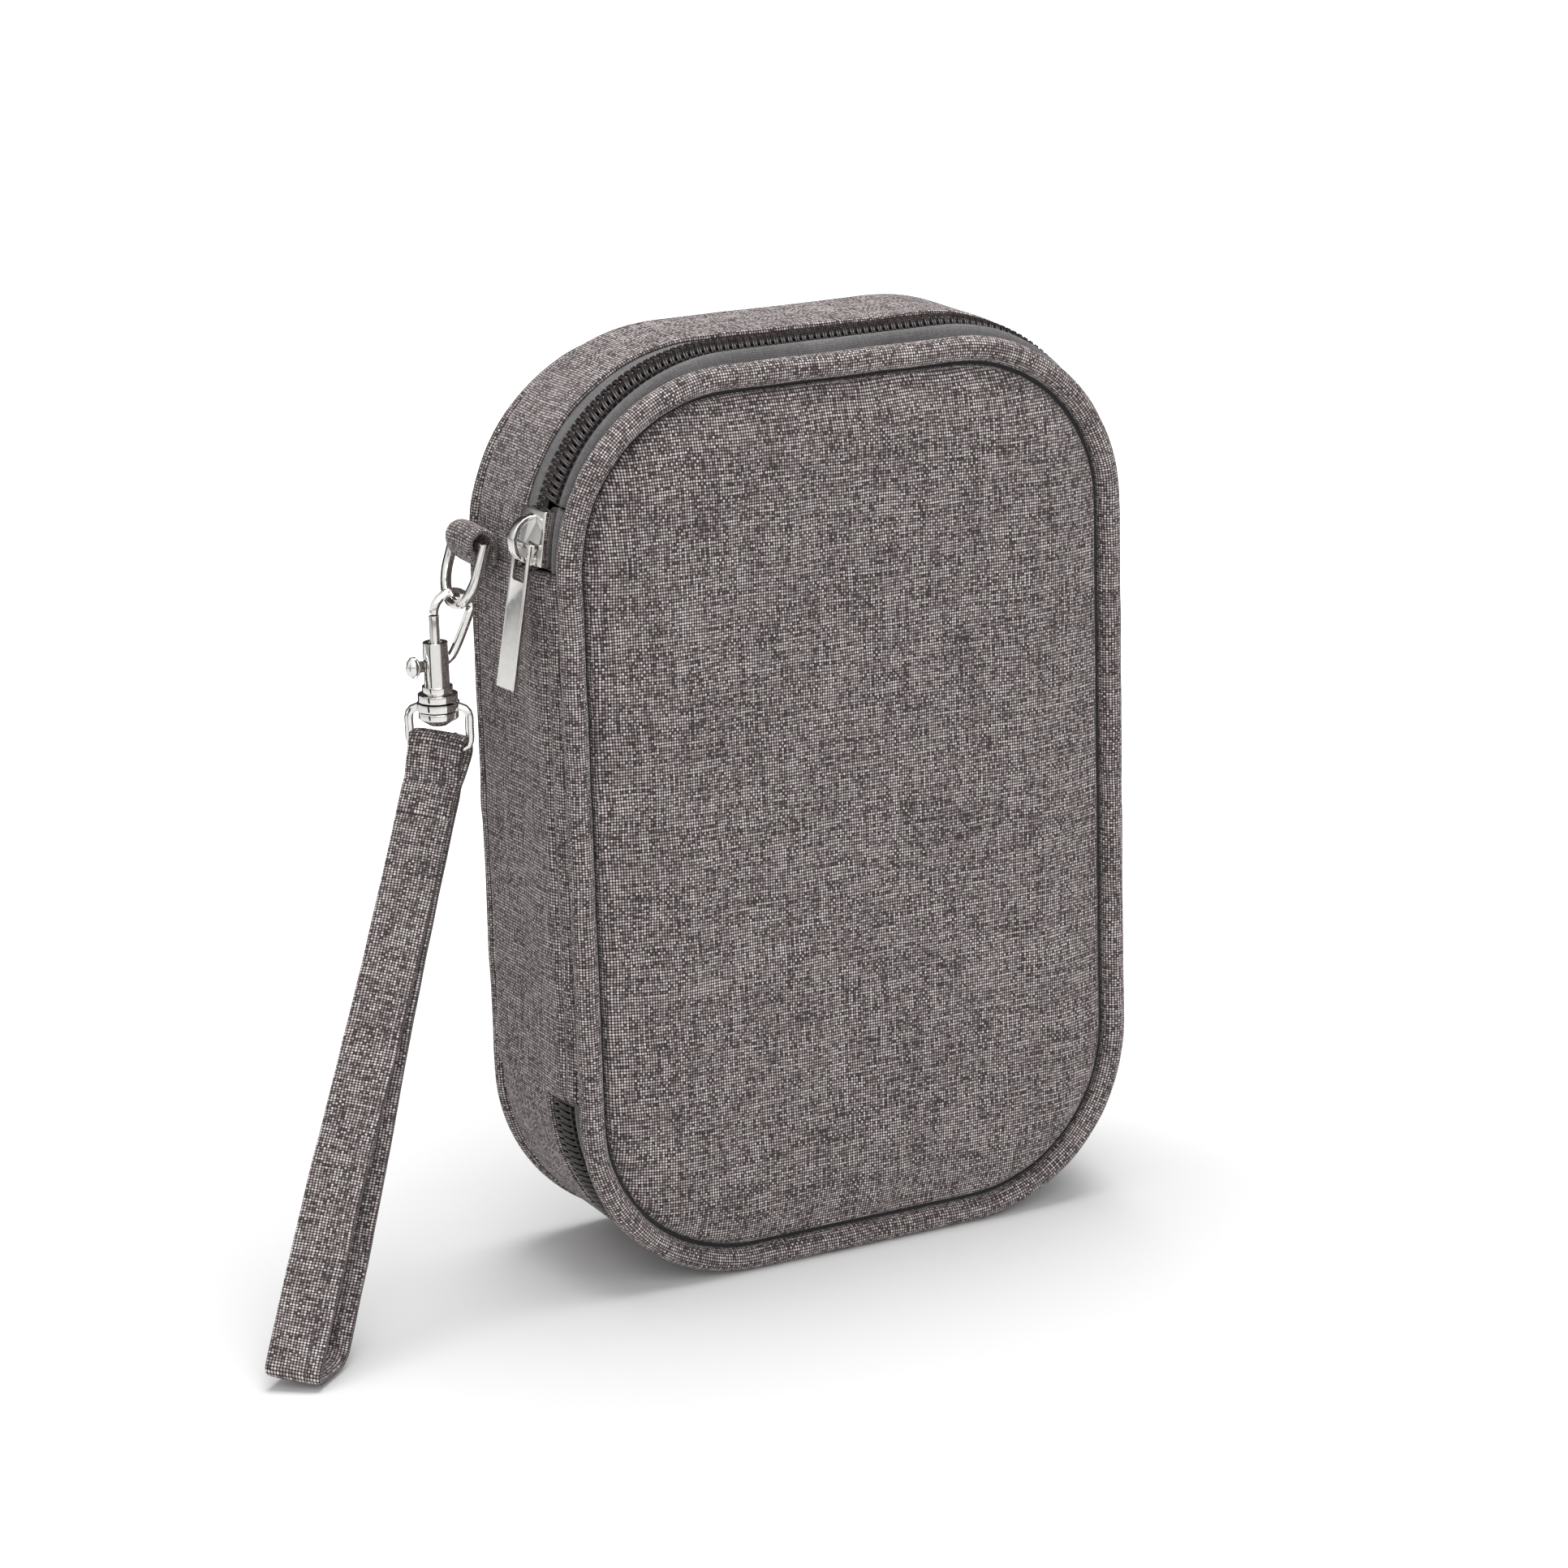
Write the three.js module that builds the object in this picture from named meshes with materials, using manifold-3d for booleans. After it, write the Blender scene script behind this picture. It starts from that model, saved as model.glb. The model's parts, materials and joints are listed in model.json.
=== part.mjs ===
// A zipped, padded fabric case for a glucose meter, with a wrist strap on a snap hook.
// Millimetres, +Z up. The case stands on its bottom, its front faces -Y and its spine is on -X.
// The origin is on the flat underside of the gusset, below the middle of the case.

import * as THREE from "three";
import { mergeVertices } from "three/addons/utils/BufferGeometryUtils.js";
import Module from "manifold-3d";

const wasm = await Module();
wasm.setup();

// Case outline over the front piping
const CASE_WIDTH = 134;
const CASE_HEIGHT = 200;
const CORNER_RADIUS = 40;

// Side band: gusset, spine and zip, between the front seam and the rear seam
const BAND_DEPTH = 37.2;
const BAND_LEFT_PROUD = 0.6;
const BAND_RIGHT_PROUD = 2;
const BAND_TOP_PROUD = 3.3;
const BAND_RADIUS_PROUD = 3;
const BAND_CROWN = 3.2;
const CROWN_RUN = 13.6;
const GUSSET_WALL = 3;
const SPINE_WALL = 3;
const SPINE_BOTTOM = 47;
const SPINE_TOP_DROP = 40.5;

// Clearances between pieces that are sewn or bonded, and between pieces that run on each other
const SEAM_GAP = 0.3;
const RUN_GAP = 0.35;

// Piping rolls
const FRONT_PIPING_DIAMETER = 5.4;
const REAR_PIPING_DIAMETER = 4;
const REAR_PIPING_PROUD = 1.2;
const ROLL_FLAT = 0.3;

// Padded panels, boards and linings
const PANEL_EDGE = 1.6;
const FRONT_CROWN = 3;
const REAR_CROWN = 2.2;
const PANEL_CROWN_RUN = 28;
const BOARD_THICKNESS = 2.5;
const LINING_THICKNESS = 1;

// Zip
const ZIP_Y = -11.5;
const ZIP_SLOT = 1.2;
const COIL_WIDTH = 2.6;
const COIL_HEIGHT = 1.8;
const TAPE_THICKNESS = 0.9;
const REAR_TAPE_WIDTH = 5.6;
const ZIP_END_LENGTH = 14.5;

// Zip slider and pull
const SLIDER_ANGLE = 9;
const SLIDER_LENGTH = 11.6;
const SLIDER_FLANGE = 1;
const SLIDER_PLATE = 1.15;
const SLIDER_NECK = 0.4;
const SLIDER_NECK_LENGTH = 3;
const BRIDGE_LENGTH = 10.4;
const BRIDGE_DROP = 0.6;
const BRIDGE_SPARE = 2.2;
const BRIDGE_WIDTH = 2.2;
const BRIDGE_WALL = 1.2;
const PULL_LENGTH = 31;
const PULL_WIDTH = 5.6;
const PULL_THICKNESS = 1.25;
const PULL_RAIL = 0.9;
const PULL_WINDOW = 6.8;
const PULL_SIT = 1.4;
const PULL_LEAN = 2;
const PULL_YAW = 8;

// Inside fittings
const POCKET_TOP = 128;
const POCKET_INSET = 6;
const POCKET_THICKNESS = 0.8;
const BINDING_HEIGHT = 6;
const BINDING_THICKNESS = 1.6;
const LOOP_COUNT = 4;
const LOOP_WIDTH = 22;
const LOOP_HEIGHT = 7;
const LOOP_FOOT = 4;
const ELASTIC_THICKNESS = 1.2;
const ELASTIC_WIDTH = 28;
const ELASTIC_Z = 118;

// Side tab and D-ring
const TAB_Y = 12.2;
const TAB_RISE = 2.7;
const TAB_SEWN = 2.5;
const TAB_PLY = 1.5;
const TAB_PLAY = 1;
const RING_WIRE = 2.2;
const RING_WIDTH = 15.6;
const RING_LEG = 5.6;
const RING_TILT = 18;

// Snap hook, from the top down
const HOOK_WIRE = 2.1;
const HOOK_RADIUS = 4.2;
const BARREL_TOP_DROP = 11.3;
const BARREL_RADIUS = 2.7;
const BARREL_LENGTH = 9.5;
const BORE_RADIUS = 1.45;
const GATE_TRAVEL = 3;
const KNOB_DROP = 5;
const KNOB_RADIUS = 1.6;
const KNOB_HEIGHT = 5;
const KNOB_NECK = 1.1;
const COLLAR_RADIUS = 3.3;
const COLLAR_HEIGHT = 1.3;
const FLANGE_RADIUS = 4.3;
const FLANGE_HEIGHT = 1.5;
const WAIST_RADIUS = 2.6;
const WAIST_HEIGHT = 0.4;
const STUD_RADIUS = 1.6;
const CAP_RADIUS = 4.3;
const CAP_HEIGHT = 3;
const EYE_RING_RADIUS = 4.6;
const EYE_RING_HEIGHT = 1.6;
const EYE_WIRE = 1.9;
const EYE_WIDTH = 14.8;
const EYE_HEIGHT = 9.4;
const EYE_TURN = -32.5;

// Wrist strap: a folded loop that leans out until its foot stands on the floor
const STRAP_LENGTH = 135.2;
const STRAP_WIDTH = 11.8;
const STRAP_PLY = 1.9;
const STRAP_GAP = 9;
const STRAP_SEWN = 8;
const STRAP_SKEW = 0.22;
const STRAP_FOOT_BEND = 4;
const STRAP_STAND = 1.5;
const STRAP_TURN = 37.3;

// Faceting
const CORNER_STEPS = 5;
const ROLL_STEPS = 3;
const CROWN_STEPS = 5;
const WIRE_STEPS = 4;
const ROUND_SIDES = 20;
const BOW_STEPS = 8;
const HOOK_STEPS = 22;
const EYE_STEPS = 32;

// Materials
function finish(color, roughness, metalness) {
  return new THREE.MeshStandardMaterial({ color, roughness, metalness });
}

const CLOTH = finish(0x66605f, 0.92, 0);
const TAPE = finish(0x4a4d4e, 0.85, 0);
const COIL = finish(0x2c2524, 0.4, 0);
const FOAM = finish(0x2b2b2d, 0.95, 0);
const LINING = finish(0x38393b, 0.9, 0);
const ELASTIC = finish(0x1f1f21, 0.85, 0);
const MESH = finish(0x2a2a2c, 0.85, 0);
const NICKEL = finish(0xc9c7c3, 0.18, 1);
const SPRING_STEEL = finish(0x8d8d8f, 0.35, 1);

const model = new THREE.Group();
const degrees = THREE.MathUtils.degToRad;

// A closed geometry as a solid that can be joined and cut
function solid(geometry) {
  const bare = geometry.clone();
  bare.deleteAttribute("normal");
  bare.deleteAttribute("uv");
  const merged = mergeVertices(bare, 1e-4);
  const corners = Array.from(merged.index.array);
  const kept = [];
  for (let i = 0; i < corners.length; i += 3) {
    const [a, b, c] = corners.slice(i, i + 3);
    if (a !== b && b !== c && c !== a) kept.push(a, b, c);
  }
  return new wasm.Manifold(new wasm.Mesh({
    numProp: 3,
    vertProperties: new Float32Array(merged.attributes.position.array),
    triVerts: new Uint32Array(kept),
  }));
}

// A solid back as a geometry
function skin(body) {
  const mesh = body.getMesh();
  const geometry = new THREE.BufferGeometry();
  geometry.setAttribute("position", new THREE.BufferAttribute(mesh.vertProperties, 3));
  geometry.setIndex(new THREE.BufferAttribute(mesh.triVerts, 1));
  geometry.computeVertexNormals();
  return geometry;
}

function addPart(name, body, material, parent = model) {
  const mesh = new THREE.Mesh(skin(body), material);
  mesh.name = name;
  parent.add(mesh);
}

const join = (...bodies) => bodies.reduce((whole, body) => whole.add(body));

function block(x0, x1, y0, y1, z0, z1) {
  const geometry = new THREE.BoxGeometry(x1 - x0, y1 - y0, z1 - z0);
  geometry.translate((x0 + x1) / 2, (y0 + y1) / 2, (z0 + z1) / 2);
  return solid(geometry);
}

// Upright round pieces
function post(radius, z0, z1) {
  const geometry = new THREE.CylinderGeometry(radius, radius, z1 - z0, ROUND_SIDES);
  geometry.rotateX(Math.PI / 2);
  geometry.translate(0, 0, (z0 + z1) / 2);
  return solid(geometry);
}

// A turned piece: points are [radius, z], from the axis and back to it
function turned(points) {
  const profile = points.map(([radius, z]) => new THREE.Vector2(radius, z));
  const geometry = new THREE.LatheGeometry(profile, ROUND_SIDES);
  geometry.rotateX(Math.PI / 2);
  return solid(geometry);
}

// A round wire along a curve
function wire(diameter, points, steps) {
  const section = new THREE.Shape().absarc(0, 0, diameter / 2, 0, 2 * Math.PI);
  const extrudePath = new THREE.CatmullRomCurve3(points, false, "catmullrom");
  return solid(new THREE.ExtrudeGeometry(section, { steps, extrudePath, curveSegments: WIRE_STEPS }));
}

// Outlines in the X-Z plane: left, right, bottom and top edges, and the corner radius
const caseEdges = {
  left: -CASE_WIDTH / 2,
  right: CASE_WIDTH / 2,
  bottom: 0,
  top: CASE_HEIGHT,
  radius: CORNER_RADIUS,
};
const bandEdges = {
  left: caseEdges.left - BAND_LEFT_PROUD,
  right: caseEdges.right + BAND_RIGHT_PROUD,
  bottom: 0,
  top: CASE_HEIGHT + BAND_TOP_PROUD,
  radius: CORNER_RADIUS + BAND_RADIUS_PROUD,
};

const grown = (edges, by) => ({
  left: edges.left - by,
  right: edges.right + by,
  bottom: edges.bottom - by,
  top: edges.top + by,
  radius: edges.radius + by,
});

function rounded(edges, target = new THREE.Shape()) {
  const { left, right, bottom, top, radius } = edges;
  target.absarc(right - radius, bottom + radius, radius, -Math.PI / 2, 0);
  target.absarc(right - radius, top - radius, radius, 0, Math.PI / 2);
  target.absarc(left + radius, top - radius, radius, Math.PI / 2, Math.PI);
  target.absarc(left + radius, bottom + radius, radius, Math.PI, 1.5 * Math.PI);
  return target;
}

// A shape in the X-Z plane, given a depth along Y between two planes
function plank(shape, y0, y1, options = {}) {
  const bevel = options.bevelEnabled ? options.bevelThickness : 0;
  const geometry = new THREE.ExtrudeGeometry(shape, {
    depth: y1 - y0 - 2 * bevel,
    bevelEnabled: false,
    curveSegments: CORNER_STEPS,
    ...options,
  });
  geometry.rotateX(Math.PI / 2);
  geometry.translate(0, y1 - bevel, 0);
  return geometry;
}

const upright = (...dimensions) => solid(plank(...dimensions));

// Side band. An offset of 0 is the outer face, negative is further in.
const FRONT_SEAM_Y = -BAND_DEPTH / 2;
const REAR_SEAM_Y = BAND_DEPTH / 2;
const FAR = CASE_WIDTH + CASE_HEIGHT;

function crowned(offset) {
  return upright(rounded(grown(bandEdges, offset - BAND_CROWN)), FRONT_SEAM_Y, REAR_SEAM_Y, {
    bevelEnabled: true,
    bevelThickness: CROWN_RUN,
    bevelSize: BAND_CROWN,
    bevelSegments: CROWN_STEPS,
  });
}

function band(inner, outer, y0, y1) {
  return crowned(outer).subtract(crowned(inner)).intersect(block(-FAR, FAR, y0, y1, -FAR, FAR));
}

// How far the band falls away from its full crown at a place along Y
function crownDrop(y) {
  const past = Math.max(0, Math.abs(y) - (BAND_DEPTH / 2 - CROWN_RUN)) / CROWN_RUN;
  return BAND_CROWN * (1 - Math.sqrt(1 - past * past));
}

// The spine fills the left side between the two ends of the zip
const spineTop = CASE_HEIGHT - SPINE_TOP_DROP;
const leftSide = (z0, z1) => block(-FAR, bandEdges.left + CORNER_RADIUS / 2, -FAR, FAR, z0, z1);
const spineRoom = leftSide(SPINE_BOTTOM - SEAM_GAP, spineTop + SEAM_GAP);
const zipEndTop = spineTop + ZIP_END_LENGTH;

const coilInner = -COIL_HEIGHT;
const tapeOuter = coilInner - SEAM_GAP;
const tapeInner = tapeOuter - TAPE_THICKNESS;
const rearZipY = ZIP_Y + ZIP_SLOT / 2;
const frontZipY = ZIP_Y - ZIP_SLOT / 2;
const gussetFrontY = rearZipY + REAR_TAPE_WIDTH + SEAM_GAP;

function sideBand() {
  const gusset = band(-GUSSET_WALL, 0, gussetFrontY, REAR_SEAM_Y).subtract(spineRoom);
  addPart("gusset", gusset, CLOTH);
  const liningOuter = -GUSSET_WALL - SEAM_GAP;
  const liningInner = liningOuter - LINING_THICKNESS;
  const lining = band(liningInner, liningOuter, gussetFrontY, REAR_SEAM_Y - LINING_THICKNESS);
  addPart("gusset_lining", lining, LINING);
  const spine = band(-SPINE_WALL, 0, FRONT_SEAM_Y, REAR_SEAM_Y);
  addPart("spine_panel", spine.intersect(leftSide(SPINE_BOTTOM, spineTop)), CLOTH);
}

function zip() {
  const rearTape = band(tapeInner, tapeOuter, rearZipY, rearZipY + REAR_TAPE_WIDTH);
  addPart("rear_zip_tape", rearTape.subtract(spineRoom), TAPE);
  const rearCoil = band(coilInner, 0, rearZipY, rearZipY + COIL_WIDTH);
  addPart("rear_zip_coil", rearCoil.subtract(spineRoom), COIL);
  const frontTape = band(tapeInner, tapeOuter, FRONT_SEAM_Y, frontZipY);
  const frontCoil = band(coilInner, 0, frontZipY - COIL_WIDTH, frontZipY);
  const spineAndEnd = leftSide(SPINE_BOTTOM - SEAM_GAP, zipEndTop + SEAM_GAP);
  const endRoom = leftSide(spineTop + SEAM_GAP, zipEndTop);
  addPart("front_zip_tape", frontTape.subtract(spineAndEnd), TAPE);
  addPart("front_zip_coil", frontCoil.subtract(spineAndEnd), COIL);
  addPart("front_tape_end", frontTape.intersect(endRoom), TAPE);
  addPart("front_coil_end", frontCoil.intersect(endRoom), COIL);
}

// Piping: a round roll whose outer edge follows the given edges
function roll(edges, diameter, y) {
  const centre = grown(edges, -diameter / 2);
  const shape = rounded(grown(centre, ROLL_FLAT));
  shape.holes.push(rounded(grown(centre, -ROLL_FLAT), new THREE.Path()));
  return upright(shape, y - diameter / 2, y + diameter / 2, {
    bevelEnabled: true,
    bevelThickness: diameter / 2 - ROLL_FLAT,
    bevelSize: diameter / 2 - ROLL_FLAT,
    bevelSegments: ROLL_STEPS,
  });
}

const FRONT_PIPING_Y = FRONT_SEAM_Y - SEAM_GAP - FRONT_PIPING_DIAMETER / 2;
const REAR_PIPING_Y = REAR_SEAM_Y + SEAM_GAP + REAR_PIPING_DIAMETER / 2;
const rearEdges = {
  ...grown(caseEdges, REAR_PIPING_PROUD),
  bottom: 0,
};

// A padded panel with a flat back: crowned over a run from its edge
function padded(edges, crown, backY, facing) {
  const height = PANEL_EDGE + crown;
  const pillow = upright(rounded(grown(edges, -PANEL_CROWN_RUN)), backY - height, backY + height, {
    bevelEnabled: true,
    bevelThickness: crown,
    bevelSize: PANEL_CROWN_RUN,
    bevelSegments: CROWN_STEPS,
  });
  const [y0, y1] = facing < 0 ? [-FAR, backY] : [backY, FAR];
  return pillow.intersect(block(-FAR, FAR, y0, y1, -FAR, FAR));
}

const frontInner = grown(caseEdges, -FRONT_PIPING_DIAMETER - SEAM_GAP);
const tapeRoom = grown(bandEdges, tapeInner - BAND_CROWN - SEAM_GAP);
const lidRoom = {
  left: Math.max(frontInner.left, tapeRoom.left),
  right: Math.min(frontInner.right, tapeRoom.right),
  bottom: Math.max(frontInner.bottom, tapeRoom.bottom),
  top: Math.min(frontInner.top, tapeRoom.top),
  radius: Math.max(frontInner.radius, tapeRoom.radius),
};
const frontBackY = FRONT_PIPING_Y + PANEL_EDGE / 2;
const lidBoardY = frontBackY + SEAM_GAP;
const lidLiningY = lidBoardY + BOARD_THICKNESS + SEAM_GAP;
const pocketY = lidLiningY + LINING_THICKNESS + SEAM_GAP;

function lid() {
  addPart("front_piping", roll(caseEdges, FRONT_PIPING_DIAMETER, FRONT_PIPING_Y), CLOTH);
  addPart("front_panel", padded(frontInner, FRONT_CROWN, frontBackY, -1), CLOTH);
  addPart("lid_board", upright(rounded(lidRoom), lidBoardY, lidBoardY + BOARD_THICKNESS), FOAM);
  addPart("lid_lining", upright(rounded(lidRoom), lidLiningY, lidLiningY + LINING_THICKNESS), LINING);
  const pocketEdges = grown(lidRoom, -POCKET_INSET);
  const pocket = upright(rounded(pocketEdges), pocketY, pocketY + POCKET_THICKNESS);
  addPart("mesh_pocket", pocket.intersect(block(-FAR, FAR, -FAR, FAR, 0, POCKET_TOP)), MESH);
  const { left, right } = pocketEdges;
  const bindingY = pocketY + BINDING_THICKNESS;
  const bindingZ = POCKET_TOP + SEAM_GAP;
  const binding = block(left, right, pocketY, bindingY, bindingZ, bindingZ + BINDING_HEIGHT);
  addPart("pocket_binding", binding, ELASTIC);
}

const rearBackY = REAR_PIPING_Y - PANEL_EDGE / 2;
const rearBoardY = rearBackY - SEAM_GAP - BOARD_THICKNESS;
const rearLiningY = rearBoardY - SEAM_GAP - LINING_THICKNESS;
const bandRoom = grown(bandEdges, -BAND_CROWN - GUSSET_WALL - LINING_THICKNESS - 2 * SEAM_GAP);

function rear() {
  addPart("rear_piping", roll(rearEdges, REAR_PIPING_DIAMETER, REAR_PIPING_Y), CLOTH);
  const rearInner = grown(rearEdges, -REAR_PIPING_DIAMETER - SEAM_GAP);
  addPart("rear_panel", padded(rearInner, REAR_CROWN, rearBackY, 1), CLOTH);
  addPart("rear_board", upright(rounded(bandRoom), rearBoardY, rearBoardY + BOARD_THICKNESS), FOAM);
  addPart("rear_lining", upright(rounded(bandRoom), rearLiningY, rearLiningY + LINING_THICKNESS), LINING);
}

// A row of elastic loops sewn to the rear lining between flat feet
function elasticLoops() {
  const back = rearLiningY - SEAM_GAP;
  const pitch = LOOP_WIDTH + LOOP_FOOT;
  const start = -(LOOP_COUNT * pitch + LOOP_FOOT) / 2;
  const z0 = ELASTIC_Z - ELASTIC_WIDTH / 2;
  const z1 = ELASTIC_Z + ELASTIC_WIDTH / 2;
  const foot = (x) => block(x, x + LOOP_FOOT, back - ELASTIC_THICKNESS, back, z0, z1);
  const pieces = [foot(start)];
  for (let i = 0; i < LOOP_COUNT; i += 1) {
    const middle = start + LOOP_FOOT + LOOP_WIDTH / 2 + i * pitch;
    const outer = LOOP_WIDTH / 2 + ELASTIC_THICKNESS;
    const arch = new THREE.Shape();
    arch.absellipse(middle, -back, outer, LOOP_HEIGHT, 0, Math.PI, false);
    arch.absellipse(middle, -back, LOOP_WIDTH / 2, LOOP_HEIGHT - ELASTIC_THICKNESS, Math.PI, 0, true);
    const geometry = new THREE.ExtrudeGeometry(arch, {
      depth: ELASTIC_WIDTH,
      bevelEnabled: false,
      curveSegments: CORNER_STEPS,
    });
    geometry.rotateX(Math.PI);
    geometry.translate(0, 0, z1);
    pieces.push(solid(geometry));
    pieces.push(foot(start + (i + 1) * pitch));
  }
  addPart("elastic_loops", join(...pieces), ELASTIC);
}

// The slider rides the upper left corner of the zip. In its own frame outward is -X and the zip runs along Z.
const coilReach = COIL_WIDTH + ZIP_SLOT / 2;
const zipFall = crownDrop(ZIP_Y - coilReach) - crownDrop(ZIP_Y + coilReach);
const zipSlope = Math.atan2(zipFall, 2 * coilReach);
const zipRadius = bandEdges.radius - crownDrop(ZIP_Y);
const sliderHalf = coilReach + RUN_GAP + SLIDER_FLANGE;
const sliderSag = (SLIDER_LENGTH / 2) ** 2 / (2 * zipRadius);

const sliderTurn = new THREE.Group();
sliderTurn.position.set(bandEdges.left + bandEdges.radius, ZIP_Y, bandEdges.top - bandEdges.radius);
sliderTurn.rotation.y = degrees(SLIDER_ANGLE);
model.add(sliderTurn);
const sliderTilt = new THREE.Group();
sliderTilt.position.x = -zipRadius - tapeInner / 2;
sliderTilt.rotation.z = zipSlope;
sliderTurn.add(sliderTilt);
const sliderSeat = new THREE.Group();
sliderSeat.position.x = tapeInner / 2;
sliderTilt.add(sliderSeat);

// The bridge leaves room for the pull's bar to turn in it
const plateTop = RUN_GAP + SLIDER_PLATE;
const barSweep = PULL_THICKNESS * Math.SQRT1_2;
const pivotOut = plateTop + barSweep + 2 * RUN_GAP;
const bridgeRise = 2 * barSweep + BRIDGE_SPARE + BRIDGE_WALL;

function zipSlider() {
  const half = SLIDER_LENGTH / 2;
  const flangeFoot = tapeOuter + RUN_GAP;
  const baseTop = tapeInner - 2 * RUN_GAP - sliderSag;
  const baseBottom = baseTop - SLIDER_PLATE;
  const slab = (outer, inner, y0, y1, z0 = -half) => block(-outer, -inner, y0, y1, z0, half);
  const topPlate = slab(plateTop, RUN_GAP, -sliderHalf, sliderHalf);
  const frontFlange = slab(plateTop, flangeFoot, -sliderHalf, SLIDER_FLANGE - sliderHalf);
  const rearFlange = slab(plateTop, flangeFoot, sliderHalf - SLIDER_FLANGE, sliderHalf);
  const base = slab(baseTop, baseBottom, -sliderHalf, sliderHalf);
  const neckEnd = half - SLIDER_NECK_LENGTH;
  const neck = slab(plateTop, baseBottom, -SLIDER_NECK / 2, SLIDER_NECK / 2, neckEnd);
  const span = BRIDGE_LENGTH / 2;
  const foot = SLIDER_PLATE / 2;
  const arch = new THREE.Shape();
  arch.moveTo(span, -foot);
  arch.absellipse(0, 0, span, bridgeRise, 0, Math.PI, false);
  arch.lineTo(-span, -foot);
  arch.lineTo(BRIDGE_WALL - span, -foot);
  arch.absellipse(0, 0, span - BRIDGE_WALL, bridgeRise - BRIDGE_WALL, Math.PI, 0, true);
  arch.lineTo(span - BRIDGE_WALL, -foot);
  const bridge = new THREE.ExtrudeGeometry(arch, {
    depth: BRIDGE_WIDTH,
    bevelEnabled: false,
    curveSegments: CORNER_STEPS,
  });
  bridge.translate(0, 0, -BRIDGE_WIDTH / 2);
  bridge.rotateX(Math.PI / 2);
  bridge.rotateY(-Math.PI / 2);
  bridge.translate(-plateTop, 0, -BRIDGE_DROP);
  const body = join(topPlate, frontFlange, rearFlange, base, neck, solid(bridge));
  addPart("zip_slider", body, NICKEL, sliderSeat);
}

// The pull hangs in the slider's bridge by the top bar of its window
function zipPull() {
  const hang = new THREE.Group();
  hang.position.set(-pivotOut, 0, -BRIDGE_DROP - PULL_SIT);
  hang.rotation.set(degrees(PULL_LEAN), 0, degrees(PULL_YAW), "XZY");
  sliderSeat.add(hang);
  const half = PULL_WIDTH / 2;
  const thick = PULL_THICKNESS / 2;
  const plate = block(-thick, thick, -half, half, thick - PULL_LENGTH, thick);
  const room = half - PULL_RAIL;
  const windowCut = block(-FAR, FAR, -room, room, -thick - PULL_WINDOW, -thick);
  addPart("zip_pull", plate.subtract(windowCut), NICKEL, hang);
}

// Side tab: a strip folded over the D-ring's bar, with both ends sewn in at the top of the spine
const tabBack = bandEdges.left - SEAM_GAP;
const tabWidth = RING_WIDTH - RING_WIRE - 2 * RUN_GAP;
const tabHole = RING_WIRE / 2 + TAB_PLAY;
const tabRadius = tabHole + TAB_PLY;
const tabX = tabBack - tabRadius;
const tabZ = spineTop + TAB_RISE;
const tabBottom = spineTop - TAB_SEWN;

function sideTab() {
  const shape = new THREE.Shape();
  shape.moveTo(tabBack, tabBottom);
  shape.absarc(tabX, tabZ, tabRadius, 0, Math.PI);
  const outer = tabX - tabRadius;
  shape.quadraticCurveTo(outer, tabZ - tabRadius, tabBack - 2 * TAB_PLY, tabBottom);
  shape.holes.push(new THREE.Path().absarc(tabX, tabZ, tabHole, 0, 2 * Math.PI));
  addPart("side_tab", upright(shape, TAB_Y - tabWidth / 2, TAB_Y + tabWidth / 2), CLOTH);
}

// D-ring: its bar lies low in the tab's loop, and its bow hangs out
const ringRoom = (TAB_PLAY - RUN_GAP) * Math.SQRT1_2;
const ringBar = new THREE.Vector3(tabX - ringRoom, TAB_Y, tabZ - ringRoom);
const ringDown = new THREE.Vector3(-Math.sin(degrees(RING_TILT)), 0, -Math.cos(degrees(RING_TILT)));
const ringBottom = ringBar.clone().addScaledVector(ringDown, RING_LEG + RING_WIDTH / 2);

function dRing() {
  const hang = new THREE.Group();
  hang.position.copy(ringBar);
  hang.rotation.y = degrees(RING_TILT);
  model.add(hang);
  const outline = (by, target) => {
    const radius = RING_WIDTH / 2 + by;
    target.moveTo(radius, by);
    target.lineTo(-radius, by);
    target.absarc(0, -RING_LEG, radius, Math.PI, 2 * Math.PI);
    return target;
  };
  const shape = outline(ROLL_FLAT, new THREE.Shape());
  shape.holes.push(outline(-ROLL_FLAT, new THREE.Path()));
  const bevel = RING_WIRE / 2 - ROLL_FLAT;
  const geometry = new THREE.ExtrudeGeometry(shape, {
    depth: 2 * ROLL_FLAT,
    bevelEnabled: true,
    bevelThickness: bevel,
    bevelSize: bevel,
    bevelSegments: ROLL_STEPS,
    curveSegments: 2 * CORNER_STEPS,
  });
  geometry.translate(0, 0, -ROLL_FLAT);
  geometry.rotateX(Math.PI / 2);
  geometry.rotateZ(Math.PI / 2);
  addPart("d_ring", solid(geometry), NICKEL, hang);
}

// Snap hook: its bow hangs on the D-ring, and the barrel's axis is in line with the hook's tip
const bowRoom = HOOK_RADIUS - HOOK_WIRE / 2 - RING_WIRE / 2 - RUN_GAP;
const bowCentre = ringBottom.clone().addScaledVector(ringDown, bowRoom);
const barrelTop = bowCentre.z + HOOK_RADIUS + HOOK_WIRE / 2 - BARREL_TOP_DROP;
const barrelBottom = barrelTop - BARREL_LENGTH;
const collarBottom = barrelBottom - COLLAR_HEIGHT;
const flangeTop = collarBottom - WAIST_HEIGHT;
const flangeBottom = flangeTop - FLANGE_HEIGHT;
const eyeTop = flangeBottom - RUN_GAP;
const eyeBottom = eyeTop - EYE_RING_HEIGHT;
const capTop = eyeBottom - RUN_GAP;
const barZ = eyeBottom - EYE_HEIGHT + EYE_WIRE / 2;
const knobZ = barrelTop - KNOB_DROP;
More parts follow.
